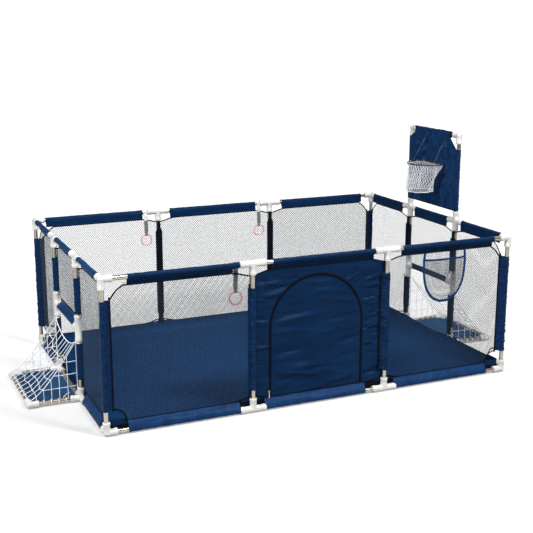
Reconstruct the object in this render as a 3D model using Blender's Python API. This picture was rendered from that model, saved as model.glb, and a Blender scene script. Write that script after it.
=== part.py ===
"""Tube-and-connector play yard with two goals, a basketball board, a zip door and three pull rings.

Metres, +Z up. The origin is on the floor under the middle of the yard. +X runs along the long side and
the zip door is in the side at -Y.
"""

import math

import bmesh
import bpy
from mathutils import Matrix, Vector

# Frame
BAY_X = 0.620  # between posts along the long sides
BAY_Y = 0.412  # between posts along the short sides
RISE = 0.618  # bottom rail axis to top rail axis
SIDES = 12  # facets of a tube or a connector
TUBE_R = 0.0095
TUBE_WALL = 0.0006
SOCKET_CLEARANCE = 0.0004
CONNECTOR_R = 0.0155
CORNER_ARM = 0.042  # corner axis to the end of an arm
TEE_HALF = 0.056  # half the length of a tee's through body
TEE_LEG = 0.046  # rail axis to the end of a tee's leg
SOCKET_STOP = 0.012  # rail axis to the bottom of a blind socket
TUBE_INSET = 0.0135  # rail axis to the end of a tube in a blind socket
GOAL_DEPTH = 0.220  # side rail axis to the goal base's outer tube axis
ELBOW_ARM = 0.040

HALF_X = 1.5 * BAY_X
HALF_Y = 1.5 * BAY_Y
POST_X = 0.5 * BAY_X
POST_Y = 0.5 * BAY_Y
FLAT = math.cos(math.pi / SIDES)  # a facet's distance from the axis, as a share of the radius
LOW_Z = CONNECTOR_R * FLAT
HIGH_Z = LOW_Z + RISE
MID_Z = LOW_Z + RISE / 2
BOARD_Z = HIGH_Z + BAY_Y
BORE_R = TUBE_R + SOCKET_CLEARANCE

# Fabric
CLOTH = 0.0012
WALL_OUT = 0.0103  # rail axis to the wall's outer face
WALL_IN = WALL_OUT + CLOTH
GAP = 0.0003
MAT_THICK = 0.0025
WALL_FOOT_Z = MAT_THICK + 0.001
NOTCH_HALF = 0.083  # cut-out each side of a post, along the rail
NOTCH_EDGE = 0.036  # rail axis to the top of the cut-out at its ends
NOTCH_DIP = 0.052  # rail axis to the lowest point of the cut-out
CORNER_CUT_U = 0.085
CORNER_CUT_V = 0.088
CORNER_CUT_IN = 0.034
SWOOP_STEPS = 6
GOAL_EDGE_IN = 0.014  # goal post axis to the wall's edge below and above the crossbar's tee
GOAL_EDGE_OUT = 0.022  # goal post axis to the wall's edge beside that tee
GOAL_EDGE_BULGE = 0.030  # the same at the crossbar's height
TEE_CLEAR = 0.006

# Zip door
DOOR_X = -0.016
DOOR_R = 0.213
DOOR_SPRING_Z = 0.344  # where the straight sides turn into the arch
DOOR_SILL_Z = 0.053
DOOR_SLIT = 0.001
ARCH_STEPS = 16
SLIDER_LOW_Z = 0.066
SLIDER_HIGH_Z = 0.080
SLIDER_W = 0.009
SLIDER_THICK = 0.0046
SLIDER_GAP = 0.0004
ZIP_PULL_FOOT_Z = 0.048
ZIP_PULL_TOP_Z = 0.070
ZIP_PULL_W = 0.005
ZIP_PULL_THICK = 0.0014

# Pocket on the front wall
POCKET_X = 0.604
POCKET_HALF = 0.105
POCKET_TOP_Z = 0.567
POCKET_DROP = 0.192
POCKET_BULGE = 0.020
POCKET_CLOTH = 0.001
POCKET_TAPER = 0.85  # how much of the width is lost at the foot, squared
POCKET_COLUMNS = 10
POCKET_LEVELS = 8

# Goal nets
NET_CLOTH = 0.0015
NET_HALF = 0.184
NET_NEAR = 0.017  # side rail axis to the net's mouth
NET_FAR = 0.202  # side rail axis to the net's outer hem
NET_POST_Z = MID_Z - TEE_HALF - 0.004
NET_SAG = 0.048
NET_HEM_Z = 0.005
NET_CURVE = 1.35  # how hollow the draped net is: 1 is straight
NET_FLOOR_SAG = 0.0025
NET_HEM_LIFT = 0.007  # the back's last row above the ground cloth
NET_STATIONS = 10
NET_STEPS = 6

# Board and hoop
BOARD_FOOT_Z = 0.683
BOARD_HALF = POST_Y + 0.0115
BOARD_CUT_U = 0.054
BOARD_CUT_V = 0.070
BOARD_CUT_LIP_U = 0.018
BOARD_CUT_LIP_V = 0.030
HOOP_Y = -0.020
HOOP_Z = 0.894
HOOP_R = 0.095
HOOP_WIRE_R = 0.002
HOOP_ARM = 0.0375  # hinge axis to the middle of the half circle
HOOP_AXIS_X = HALF_X - 0.0175
HOOP_NET_DROP = 0.133
HOOP_NET_FOOT_R = 0.064
HOOP_NET_CLOTH = 0.0012
HOOP_NET_INSET = 0.0045  # inside the wire
HOOP_NET_HANG = 0.0035  # wire axis to the net's head
HOOP_NET_SHIFT = 0.037  # how far the net's foot hangs away from the board
HOOP_STEPS = 14
HOOP_NET_LEVELS = 3

# Pull rings and their straps
STRAP_W = 0.020
STRAP_THICK = 0.0012
STRAP_OFFSET = 0.068  # post axis to the middle of the strap
STRAP_LOOP_R = TUBE_R + 0.0006
RING_R = 0.0275  # middle of the ring's section
RING_SECTION_R = 0.0024
RING_INSET = 0.0175  # rail axis to the plane of the ring
RING_TOP_Z = HIGH_Z - 0.1115
# The ring curves down inside the eye, so the eye's middle is half that drop below the ring's top.
EYE_DROP = (RING_R - math.sqrt(RING_R**2 - (STRAP_W / 2) ** 2)) / 2
RING_EYE_R = (RING_SECTION_R + EYE_DROP + 0.0004) / FLAT
EYE_Z = RING_TOP_Z - EYE_DROP
RING_STEPS = 20
WIRE_SIDES = 6

SMOOTH_ANGLE = math.radians(35)
AXES = {"x": Vector((1, 0, 0)), "y": Vector((0, 1, 0)), "z": Vector((0, 0, 1))}


def material(name, colour, roughness, metallic=0.0):
    """A Principled material in one colour."""
    made = bpy.data.materials.new(name)
    made.use_nodes = True
    shader = made.node_tree.nodes["Principled BSDF"]
    shader.inputs["Base Color"].default_value = (*colour, 1.0)
    shader.inputs["Roughness"].default_value = roughness
    shader.inputs["Metallic"].default_value = metallic
    made.diffuse_color = (*colour, 1.0)
    return made


def mesh_of(shape, name="shape"):
    """A mesh from a bmesh, with its faces turned outwards."""
    bmesh.ops.recalc_face_normals(shape, faces=shape.faces)
    made = bpy.data.meshes.new(name)
    shape.to_mesh(made)
    shape.free()
    return made


def place(name, mesh, skin, origin=(0, 0, 0)):
    """A named object from a mesh in world coordinates, with its own origin."""
    mesh.transform(Matrix.Translation(-Vector(origin)))
    return put(name, mesh, skin, origin)


def put(name, mesh, skin, location, turn=(0, 0, 0)):
    """A named object that shows a mesh at a location and rotation."""
    mesh.name = name
    mesh.shade_smooth()
    mesh.set_sharp_from_angle(angle=SMOOTH_ANGLE)
    mesh.materials.clear()
    mesh.materials.append(skin)
    made = bpy.data.objects.new(name, mesh)
    made.location = location
    made.rotation_euler = turn
    bpy.context.collection.objects.link(made)
    return made


def carved(base, joined=(), removed=()):
    """A mesh with solids united to it and then others cut from it."""
    host = bpy.data.objects.new("host", base)
    bpy.context.collection.objects.link(host)
    tools = []
    for operation, solids in (("UNION", joined), ("DIFFERENCE", removed)):
        for solid in solids:
            tool = bpy.data.objects.new("tool", solid)
            bpy.context.collection.objects.link(tool)
            step = host.modifiers.new("carve", "BOOLEAN")
            step.operation = operation
            step.solver = "EXACT"
            step.object = tool
            tools.append(tool)
    graph = bpy.context.evaluated_depsgraph_get()
    result = bpy.data.meshes.new_from_object(host.evaluated_get(graph))
    for spent in (host, *tools):
        bpy.data.objects.remove(spent, do_unlink=True)
    return result


def facets(centre, along, radius, sides=SIDES):
    """The corners of a regular polygon round an axis, with its flats facing along X, Y and Z."""
    along = along.normalized()
    across = AXES["z"] if abs(along.z) < 0.9 else AXES["x"]
    first = (across - along * across.dot(along)).normalized()
    second = along.cross(first)
    points = []
    for i in range(sides):
        angle = math.tau * (i + 0.5) / sides
        points.append(centre + first * radius * math.cos(angle) + second * radius * math.sin(angle))
    return points


def skin_loops(loops, closed=False, caps=True):
    """A bmesh through loops of points, each joined to the next by quads."""
    shape = bmesh.new()
    rows = [[shape.verts.new(point) for point in loop] for loop in loops]
    pairs = list(zip(rows, rows[1:]))
    if closed:
        pairs.append((rows[-1], rows[0]))
    for one, other in pairs:
        for i in range(len(one)):
            j = (i + 1) % len(one)
            shape.faces.new((one[i], one[j], other[j], other[i]))
    if caps and not closed:
        shape.faces.new(rows[0])
        shape.faces.new(rows[-1])
    return shape


def rod(start, end, radius, sides=SIDES):
    """A solid straight bar."""
    start, end = Vector(start), Vector(end)
    along = end - start
    ends = [facets(start, along, radius, sides), facets(end, along, radius, sides)]
    return mesh_of(skin_loops(ends))


def tube(start, end, outer=TUBE_R, wall=TUBE_WALL):
    """A straight tube, open at both ends."""
    start, end = Vector(start), Vector(end)
    along = end - start
    loops = [
        facets(start, along, outer),
        facets(end, along, outer),
        facets(end, along, outer - wall),
        facets(start, along, outer - wall),
    ]
    return mesh_of(skin_loops(loops, closed=True))


def path_loops(points, radius, sides=SIDES, closed=False):
    """A polygon at each point of a flat path, square to the path there."""
    count = len(points)
    loops = []
    for i, point in enumerate(points):
        before = points[i - 1] if i or closed else point
        after = points[(i + 1) % count] if i < count - 1 or closed else point
        inward = (point - before).normalized()
        outward = (after - point).normalized()
        along = (inward + outward).normalized()
        stretch = 1 / max(along.dot(outward if outward.length else inward), 0.5)
        loop = facets(point, along, radius, sides)
        bend = outward - inward
        if bend.length > 1e-6:
            bend.normalize()
            loop = [p + bend * (p - point).dot(bend) * (stretch - 1) for p in loop]
        loops.append(loop)
    return loops


def wire_loop(points, radius, sides):
    """A closed loop of solid wire."""
    points = [Vector(p) for p in points]
    return mesh_of(skin_loops(path_loops(points, radius, sides, closed=True), closed=True))


def plate(outline, origin, across, up, thick):
    """A flat sheet: an outline of (across, up) pairs, given thickness along across x up."""
    across, up = Vector(across), Vector(up)
    normal = across.cross(up) * thick
    shape = bmesh.new()
    near = [shape.verts.new(Vector(origin) + across * u + up * v) for u, v in outline]
    far = [shape.verts.new(vert.co + normal) for vert in near]
    shape.faces.new(near)
    shape.faces.new(far)
    for i in range(len(near)):
        j = (i + 1) % len(near)
        shape.faces.new((near[i], near[j], far[j], far[i]))
    return mesh_of(shape)


def block(low, high):
    """A box between two corners."""
    (x0, y0, z0), (x1, y1, z1) = low, high
    outline = [(x0, y0), (x1, y0), (x1, y1), (x0, y1)]
    return plate(outline, (0, 0, z0), (1, 0, 0), (0, 1, 0), z1 - z0)


def shell(rows, thick):
    """A sheet through a grid of points, or through rows that share end points, given thickness."""
    shape = bmesh.new()
    verts = [[shape.verts.new(point) for point in row] for row in rows]
    for one, other in zip(verts, verts[1:]):
        for i in range(len(one) - 1):
            shape.faces.new((one[i], one[i + 1], other[i + 1], other[i]))
    bmesh.ops.remove_doubles(shape, verts=shape.verts, dist=1e-5)
    sheet = bpy.data.objects.new("sheet", mesh_of(shape))
    bpy.context.collection.objects.link(sheet)
    step = sheet.modifiers.new("thickness", "SOLIDIFY")
    step.thickness = thick
    step.offset = 0
    graph = bpy.context.evaluated_depsgraph_get()
    result = bpy.data.meshes.new_from_object(sheet.evaluated_get(graph))
    bpy.data.objects.remove(sheet, do_unlink=True)
    return result


def arm(direction, length, radius=CONNECTOR_R, start=0.0):
    """One straight arm of a connector, from its centre outwards."""
    direction = Vector(direction)
    return rod(direction * start, direction * length, radius)


def connector(through, arms, lengths):
    """A plastic connector: a body along one axis with a through bore, and arms with sockets."""
    body = rod(Vector(through) * -TEE_HALF, Vector(through) * TEE_HALF, CONNECTOR_R)
    past = TEE_HALF + SOCKET_STOP
    bores = [rod(Vector(through) * -past, Vector(through) * past, BORE_R)]
    legs = []
    for direction, length in zip(arms, lengths):
        legs.append(arm(direction, length))
        bores.append(arm(direction, length + SOCKET_STOP, BORE_R))
    return carved(body, legs, bores)


def corner_mesh():
    """A three-way corner with arms along +X, +Y and -Z, each with a blind socket."""
    ways = [(1, 0, 0), (0, 1, 0), (0, 0, -1)]
    back = -CONNECTOR_R * FLAT
    arms = [arm(way, CORNER_ARM, start=back) for way in ways]
    bores = [arm(way, CORNER_ARM + SOCKET_STOP, BORE_R, start=SOCKET_STOP) for way in ways]
    return carved(arms[0], arms[1:], bores)


def add_corners(plastic):
    """The eight corner connectors. A lower one is an upper one turned over."""
    places = (
        ("front_left", -1, -1, 0),
        ("front_right", 1, -1, 1),
        ("back_right", 1, 1, 2),
        ("back_left", -1, 1, 3),
    )
    for name, side_x, side_y, turns in places:
        spot = (side_x * HALF_X, side_y * HALF_Y)
        put(f"corner_top_{name}", corner_mesh(), plastic, (*spot, HIGH_Z), (0, 0, turns * math.pi / 2))
        flipped = (math.pi, 0, (turns + 1) * math.pi / 2)
        put(f"corner_bottom_{name}", corner_mesh(), plastic, (*spot, LOW_Z), flipped)


def add_top_tees(plastic):
    """Six top tees, and the two four-ways that also hold the board."""
    down = (0, 0, -1)
    for side, sign in (("front", -1), ("back", 1)):
        for end, turn in (("left", -1), ("right", 1)):
            tee = connector((1, 0, 0), [down], [TEE_LEG])
            put(f"tee_top_{side}_{end}", tee, plastic, (turn * POST_X, sign * HALF_Y, HIGH_Z))
    for end, sign in (("front", -1), ("back", 1)):
        tee = connector((0, 1, 0), [down], [TEE_LEG])
        put(f"tee_top_left_{end}", tee, plastic, (-HALF_X, sign * POST_Y, HIGH_Z))
        four = connector((0, 1, 0), [down, (0, 0, 1)], [TEE_LEG, TEE_LEG])
        put(f"four_way_right_{end}", four, plastic, (HALF_X, sign * POST_Y, HIGH_Z))


def add_top_rails(steel):
    """The four top rails."""
    run_x = HALF_X - TUBE_INSET
    run_y = HALF_Y - TUBE_INSET
    for name, sign in (("front", -1), ("back", 1)):
        y = sign * HALF_Y
        place(f"rail_top_{name}", tube((-run_x, y, HIGH_Z), (run_x, y, HIGH_Z)), steel)
    for name, sign in (("left", -1), ("right", 1)):
        x = sign * HALF_X
        place(f"rail_top_{name}", tube((x, -run_y, HIGH_Z), (x, run_y, HIGH_Z)), steel)


def bottom_rail(middle, along, run, spacing, arms):
    """A bottom rail with its two connectors on it, which are open towards the posts."""
    middle, along = Vector(middle), Vector(along)
    spots = [middle - along * spacing, middle + along * spacing]
    outside = []
    past = along * (run + SOCKET_STOP)
    bores = [rod(middle - past, middle + past, TUBE_R - TUBE_WALL)]
    for spot in spots:
        outside.append(rod(spot - along * TEE_HALF, spot + along * TEE_HALF, CONNECTOR_R))
        for way in arms:
            way = Vector(way)
            outside.append(rod(spot, spot + way * TEE_LEG, CONNECTOR_R))
            bores.append(rod(spot + way * SOCKET_STOP, spot + way * (TEE_LEG + SOCKET_STOP), BORE_R))
    solid = rod(middle - along * run, middle + along * run, TUBE_R)
    return carved(solid, outside, bores)


def add_bottom_rails(steel):
    """The four bottom rails. Those at the goals also hold the goal bases."""
    up = (0, 0, 1)
    for name, sign in (("front", -1), ("back", 1)):
        middle = (0, sign * HALF_Y, LOW_Z)
        rail = bottom_rail(middle, (1, 0, 0), HALF_X - TUBE_INSET, POST_X, [up])
        place(f"rail_bottom_{name}", rail, steel)
    for name, sign in (("left", -1), ("right", 1)):
        middle = (sign * HALF_X, 0, LOW_Z)
        rail = bottom_rail(middle, (0, 1, 0), HALF_Y - TUBE_INSET, POST_Y, [up, (sign, 0, 0)])
        place(f"rail_bottom_{name}", rail, steel)


def add_posts(steel):
    """Twelve posts: four corners, four on the long sides and four at the goals."""
    spots = {}
    for side, sign_y in (("front", -1), ("back", 1)):
        for end, sign_x in (("left", -1), ("right", 1)):
            spots[f"post_corner_{side}_{end}"] = (sign_x * HALF_X, sign_y * HALF_Y)
            spots[f"post_{side}_{end}"] = (sign_x * POST_X, sign_y * HALF_Y)
            spots[f"goal_post_{end}_{side}"] = (sign_x * HALF_X, sign_y * POST_Y)
    for name, (x, y) in spots.items():
        place(name, tube((x, y, LOW_Z + TUBE_INSET), (x, y, HIGH_Z - TUBE_INSET)), steel)


def add_crossbars(steel):
    """The goal crossbars, each with the two half-height tees that slip over the goal posts."""
    for name, sign in (("left", -1), ("right", 1)):
        x = sign * HALF_X
        bar = rod((x, -POST_Y, MID_Z), (x, POST_Y, MID_Z), TUBE_R)
        solids = []
        cuts = []
        for end in (-1, 1):
            y = end * POST_Y
            solids.append(rod((x, y, MID_Z - TEE_HALF), (x, y, MID_Z + TEE_HALF), CONNECTOR_R))
            solids.append(rod((x, y, MID_Z), (x, y - end * TEE_LEG, MID_Z), CONNECTOR_R))
            cuts.append(rod((x, y, MID_Z - 2 * TEE_HALF), (x, y, MID_Z + 2 * TEE_HALF), BORE_R))
        cuts.append(rod((x, -POST_Y, MID_Z), (x, POST_Y, MID_Z), TUBE_R - TUBE_WALL))
        place(f"goal_crossbar_{name}", carved(bar, solids, cuts), steel)


def add_goal_bases(steel):
    """The frames on the floor behind the goals: a U of tube with an elbow on each outer corner."""
    for name, sign in (("left", -1), ("right", 1)):
        near = sign * (HALF_X + TUBE_INSET)
        far = sign * (HALF_X + GOAL_DEPTH)
        back = sign * CONNECTOR_R * FLAT
        corners = [(near, -POST_Y, LOW_Z), (far, -POST_Y, LOW_Z), (far, POST_Y, LOW_Z), (near, POST_Y, LOW_Z)]
        elbows = []
        for end in (-1, 1):
            y = end * POST_Y
            over = end * CONNECTOR_R * FLAT
            elbows.append(rod((far + back, y, LOW_Z), (far - sign * ELBOW_ARM, y, LOW_Z), CONNECTOR_R))
            elbows.append(rod((far, y + over, LOW_Z), (far, y - end * ELBOW_ARM, LOW_Z), CONNECTOR_R))
        solid = mesh_of(skin_loops(path_loops([Vector(c) for c in corners], TUBE_R)))
        ends = [(near - sign * GAP, *corners[0][1:]), *corners[1:3], (near - sign * GAP, *corners[3][1:])]
        hollow = mesh_of(skin_loops(path_loops([Vector(c) for c in ends], TUBE_R - TUBE_WALL)))
        place(f"goal_base_{name}", carved(solid, elbows, [hollow]), steel)


def add_board_frame(steel):
    """The frame over the right side: two uprights and a top tube, with an elbow on each corner."""
    foot = HIGH_Z + TUBE_INSET
    corners = [
        (HALF_X, -POST_Y, foot),
        (HALF_X, -POST_Y, BOARD_Z),
        (HALF_X, POST_Y, BOARD_Z),
        (HALF_X, POST_Y, foot),
    ]
    elbows = []
    back = CONNECTOR_R * FLAT
    for end in (-1, 1):
        y = end * POST_Y
        elbows.append(rod((HALF_X, y, BOARD_Z + back), (HALF_X, y, BOARD_Z - ELBOW_ARM), CONNECTOR_R))
        over = y + end * back
        elbows.append(rod((HALF_X, over, BOARD_Z), (HALF_X, y - end * ELBOW_ARM, BOARD_Z), CONNECTOR_R))
    solid = mesh_of(skin_loops(path_loops([Vector(c) for c in corners], TUBE_R)))
    lowered = [(HALF_X, -POST_Y, foot - GAP), *corners[1:3], (HALF_X, POST_Y, foot - GAP)]
    hollow = mesh_of(skin_loops(path_loops([Vector(c) for c in lowered], TUBE_R - TUBE_WALL)))
    place("board_frame", carved(solid, elbows, [hollow]), steel)


def swoop(middle, edge_z, dip_z):
    """The curved edge of a cut-out, from one end of it to the other."""
    points = []
    for i in range(SWOOP_STEPS + 1):
        share = 2 * i / SWOOP_STEPS - 1
        drop = (1 + math.cos(math.pi * share)) / 2
        points.append((middle + share * NOTCH_HALF, edge_z + (dip_z - edge_z) * drop))
    return points


def edge_with_notches(level, inward, middles):
    """A wall's top or bottom edge, left to right, with a cut-out at each connector.

    inward is -1 on the top edge and 1 on the bottom edge.
    """
    axis = HIGH_Z if inward < 0 else LOW_Z
    points = []
    for middle in middles:
        curve = swoop(middle, axis + inward * NOTCH_EDGE, axis + inward * NOTCH_DIP)
        points += [(curve[0][0], level), *curve, (curve[-1][0], level)]
    return points


def corner_cut(corner, end, axis, inward, level):
    """The cut-out at a corner of a wall, from the post towards the rail."""
    post = end * (corner - WALL_IN - GAP)
    return [
        (post, axis + inward * CORNER_CUT_V),
        (end * (corner - CORNER_CUT_IN), axis + inward * CORNER_CUT_V),
        (end * (corner - CORNER_CUT_U), axis + inward * NOTCH_EDGE),
        (end * (corner - CORNER_CUT_U), level),
    ]


def wall_outline(corner, spacing):
    """The outline of a wall with no goal: a rectangle with a cut-out at every connector."""
    bottom = corner_cut(corner, -1, LOW_Z, 1, WALL_FOOT_Z)
    bottom += edge_with_notches(WALL_FOOT_Z, 1, [-spacing, spacing])
    bottom += corner_cut(corner, 1, LOW_Z, 1, WALL_FOOT_Z)[::-1]
    top = corner_cut(corner, -1, HIGH_Z, -1, HIGH_Z)
    top += edge_with_notches(HIGH_Z, -1, [-spacing, spacing])
    top += corner_cut(corner, 1, HIGH_Z, -1, HIGH_Z)[::-1]
    return bottom + top[::-1]


def goal_edge(end):
    """A side wall's edge at a goal, from the floor up the post and along to the crossbar's middle."""
    post = POST_Y
    curve = swoop(post, LOW_Z + NOTCH_EDGE, LOW_Z + NOTCH_DIP)[::-1]
    outer_half = curve[: SWOOP_STEPS // 2 + 1]
    above = TEE_HALF + TEE_CLEAR
    points = [
        (outer_half[0][0], WALL_FOOT_Z),
        *outer_half,
        (post - GOAL_EDGE_IN, LOW_Z + NOTCH_DIP),
        (post - GOAL_EDGE_IN, MID_Z - above),
        (post + GOAL_EDGE_OUT, MID_Z - above),
        (post + GOAL_EDGE_BULGE, MID_Z),
        (post + GOAL_EDGE_OUT, MID_Z + above),
        (post - GOAL_EDGE_IN, MID_Z + above),
        (post - NOTCH_HALF, MID_Z + NOTCH_EDGE),
        (post - NOTCH_HALF, MID_Z),
    ]
    return [(end * u, v) for u, v in points]


def goal_wall_outline(corner):
    """The outline of a short wall, which is open under the goal's crossbar."""
    bottom = corner_cut(corner, -1, LOW_Z, 1, WALL_FOOT_Z)
    bottom += goal_edge(-1)
    bottom += goal_edge(1)[::-1]
    bottom += corner_cut(corner, 1, LOW_Z, 1, WALL_FOOT_Z)[::-1]
    top = corner_cut(corner, -1, HIGH_Z, -1, HIGH_Z)
    top += edge_with_notches(HIGH_Z, -1, [-POST_Y, POST_Y])
    top += corner_cut(corner, 1, HIGH_Z, -1, HIGH_Z)[::-1]
    return bottom + top[::-1]


def arch_outline(grow=0.0):
    """The door's outline: straight sides under a half circle."""
    radius = DOOR_R + grow
    points = [(DOOR_X - radius, DOOR_SILL_Z - grow)]
    points.append((DOOR_X + radius, DOOR_SILL_Z - grow))
    for i in range(ARCH_STEPS + 1):
        angle = math.pi * i / ARCH_STEPS
        points.append((DOOR_X + radius * math.cos(angle), DOOR_SPRING_Z + radius * math.sin(angle)))
    return points


def add_walls(cloth, netting):
    """The four walls, on the inner side of the posts and rails."""
    front_y = -HALF_Y + WALL_IN
    front = plate(wall_outline(HALF_X, POST_X), (0, front_y, 0), (1, 0, 0), (0, 0, 1), CLOTH)
    doorway = plate(arch_outline(), (0, front_y + CLOTH, 0), (1, 0, 0), (0, 0, 1), 3 * CLOTH)
    place("wall_front", carved(front, [], [doorway]), cloth)
    back_y = HALF_Y - WALL_OUT
    back = plate(wall_outline(HALF_X, POST_X), (0, back_y, 0), (1, 0, 0), (0, 0, 1), CLOTH)
    place("wall_back", back, netting)
    for name, x in (("left", -HALF_X + WALL_OUT), ("right", HALF_X - WALL_IN)):
        side = plate(goal_wall_outline(HALF_Y), (x, 0, 0), (0, 1, 0), (0, 0, 1), CLOTH)
        place(f"wall_{name}", side, netting)


def add_floor_mat(cloth):
    """The floor sheet, which reaches under the walls."""
    reach_x = HALF_X - WALL_IN - GAP
    reach_y = HALF_Y - WALL_IN - GAP
    place("floor_mat", block((-reach_x, -reach_y, 0), (reach_x, reach_y, MAT_THICK)), cloth)


def add_door(cloth, steel):
    """The door flap, hinged at its sill, and the zip's slider with its pull, beside the zip."""
    front_y = -HALF_Y + WALL_IN
    flap = plate(arch_outline(-DOOR_SLIT), (0, front_y, 0), (1, 0, 0), (0, 0, 1), CLOTH)
    place("door_flap", flap, cloth, (DOOR_X, front_y - CLOTH / 2, DOOR_SILL_Z + DOOR_SLIT))
    outer = -HALF_Y + WALL_OUT
    middle_x = DOOR_X - DOOR_R - DOOR_SLIT / 2 - SLIDER_W / 2
    near = outer - SLIDER_GAP
    far = near - SLIDER_THICK
    middle_y = (near + far) / 2
    head = block((middle_x - SLIDER_W / 2, far, SLIDER_LOW_Z), (middle_x + SLIDER_W / 2, near, SLIDER_HIGH_Z))
    pull_low = (middle_x - ZIP_PULL_W / 2, middle_y - ZIP_PULL_THICK / 2, ZIP_PULL_FOOT_Z)
    pull_high = (middle_x + ZIP_PULL_W / 2, middle_y + ZIP_PULL_THICK / 2, ZIP_PULL_TOP_Z)
    slider = carved(head, [block(pull_low, pull_high)])
    place("zip_slider", slider, steel, (middle_x, middle_y, (SLIDER_LOW_Z + SLIDER_HIGH_Z) / 2))


def add_pocket(netting):
    """The pouch on the outside of the front wall: a U-shaped sheet that stands out at its mouth."""
    wall_y = -HALF_Y + WALL_OUT - GAP - POCKET_CLOTH
    rows = []
    for j in range(POCKET_LEVELS + 1):
        down = j / POCKET_LEVELS
        half = POCKET_HALF * math.sqrt(1 - POCKET_TAPER * down**3)
        row = []
        for i in range(POCKET_COLUMNS + 1):
            side = 2 * i / POCKET_COLUMNS - 1
            out = POCKET_BULGE * (1 - side**4) * (1 - down**3)
            row.append(Vector((POCKET_X + side * half, wall_y - out, POCKET_TOP_Z - down * POCKET_DROP)))
        rows.append(row)
    place("pocket", shell(rows, POCKET_CLOTH), netting)


def net_edge_height(y):
    """How high the goal net's top edge hangs at y."""
    return NET_POST_Z - NET_SAG * (1 - (y / NET_HALF) ** 2)


def goal_net_row(sign, far):
    """One loop of a goal net at far, which runs from 0 at the mouth to 1 at the outer hem."""
    x = sign * (HALF_X + NET_NEAR + (NET_FAR - NET_NEAR) * far)
    row = []
    for i in range(NET_STATIONS + 1):
        y = NET_HALF * (2 * i / NET_STATIONS - 1)
        height = (net_edge_height(y) - NET_HEM_Z) * (1 - far) ** NET_CURVE
        if far == 1 and 0 < i < NET_STATIONS:
            height = NET_HEM_LIFT
        row.append(Vector((x, y, NET_HEM_Z + height)))
    feet = [Vector((x, side * NET_HALF, NET_HEM_Z)) for side in (-1, 1)]
    middle = Vector((x, 0, NET_HEM_Z - 4 * NET_FLOOR_SAG * (1 - far) * far))
    return [middle, feet[0], *row, feet[1], middle]


def add_goal_nets(netting):
    """Each goal's net: a draped back, two sides and a ground cloth, open towards the yard."""
    for name, sign in (("left", -1), ("right", 1)):
        rows = [goal_net_row(sign, j / NET_STEPS) for j in range(NET_STEPS + 1)]
        place(f"goal_net_{name}", shell(rows, NET_CLOTH), netting)


def add_board_cover(cloth):
    """The board's fabric, on the yard side of its frame, with its two upper corners cut away."""
    top = BOARD_Z + CONNECTOR_R * FLAT - GAP
    inner = BOARD_HALF - BOARD_CUT_U
    low = top - BOARD_CUT_V
    outline = [
        (-BOARD_HALF, BOARD_FOOT_Z),
        (BOARD_HALF, BOARD_FOOT_Z),
        (BOARD_HALF, low),
        (BOARD_HALF - BOARD_CUT_LIP_U, low),
        (inner, top - BOARD_CUT_LIP_V),
        (inner, top),
        (-inner, top),
        (-inner, top - BOARD_CUT_LIP_V),
        (-BOARD_HALF + BOARD_CUT_LIP_U, low),
        (-BOARD_HALF, low),
    ]
    cover = plate(outline, (HALF_X - WALL_IN, 0, 0), (0, 1, 0), (0, 0, 1), CLOTH)
    place("board_cover", cover, cloth)


def hoop_outline(inset, steps, back_steps=1):
    """The hoop's D shape, seen from above, as (x, y) points from the back bar round."""
    radius = HOOP_R - inset
    centre_x = HOOP_AXIS_X - HOOP_ARM
    points = []
    for i in range(steps + 1):
        angle = math.pi / 2 + math.pi * i / steps
        points.append((centre_x + radius * math.cos(angle), HOOP_Y + radius * math.sin(angle)))
    back_x = HOOP_AXIS_X - inset
    for i in range(back_steps + 1):
        share = 2 * i / back_steps - 1
        points.append((back_x, HOOP_Y + share * radius))
    return points


def add_hoop(steel, netting):
    """The wire hoop, hinged on its back bar at the board, and its net."""
    origin = (HOOP_AXIS_X, HOOP_Y, HOOP_Z)
    ring = [(x, y, HOOP_Z) for x, y in hoop_outline(0, HOOP_STEPS)]
    place("hoop", wire_loop(ring, HOOP_WIRE_R, WIRE_SIDES), steel, origin)
    head = [Vector(point) for point in hoop_outline(HOOP_NET_INSET, HOOP_STEPS, 4)]
    hoop_centre = Vector((HOOP_AXIS_X - HOOP_ARM, HOOP_Y))
    foot_centre = hoop_centre - Vector((HOOP_NET_SHIFT, 0))
    loops = []
    for j in range(HOOP_NET_LEVELS + 1):
        down = j / HOOP_NET_LEVELS
        loop = []
        for point in head:
            foot = foot_centre + (point - hoop_centre).normalized() * HOOP_NET_FOOT_R
            spot = point.lerp(foot, math.sin(down * math.pi / 2))
            loop.append(Vector((spot.x, spot.y, HOOP_Z - HOOP_NET_HANG - down * HOOP_NET_DROP)))
        loops.append(loop + loop[:1])
    place("hoop_net", shell(loops, HOOP_NET_CLOTH), netting, origin)


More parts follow.
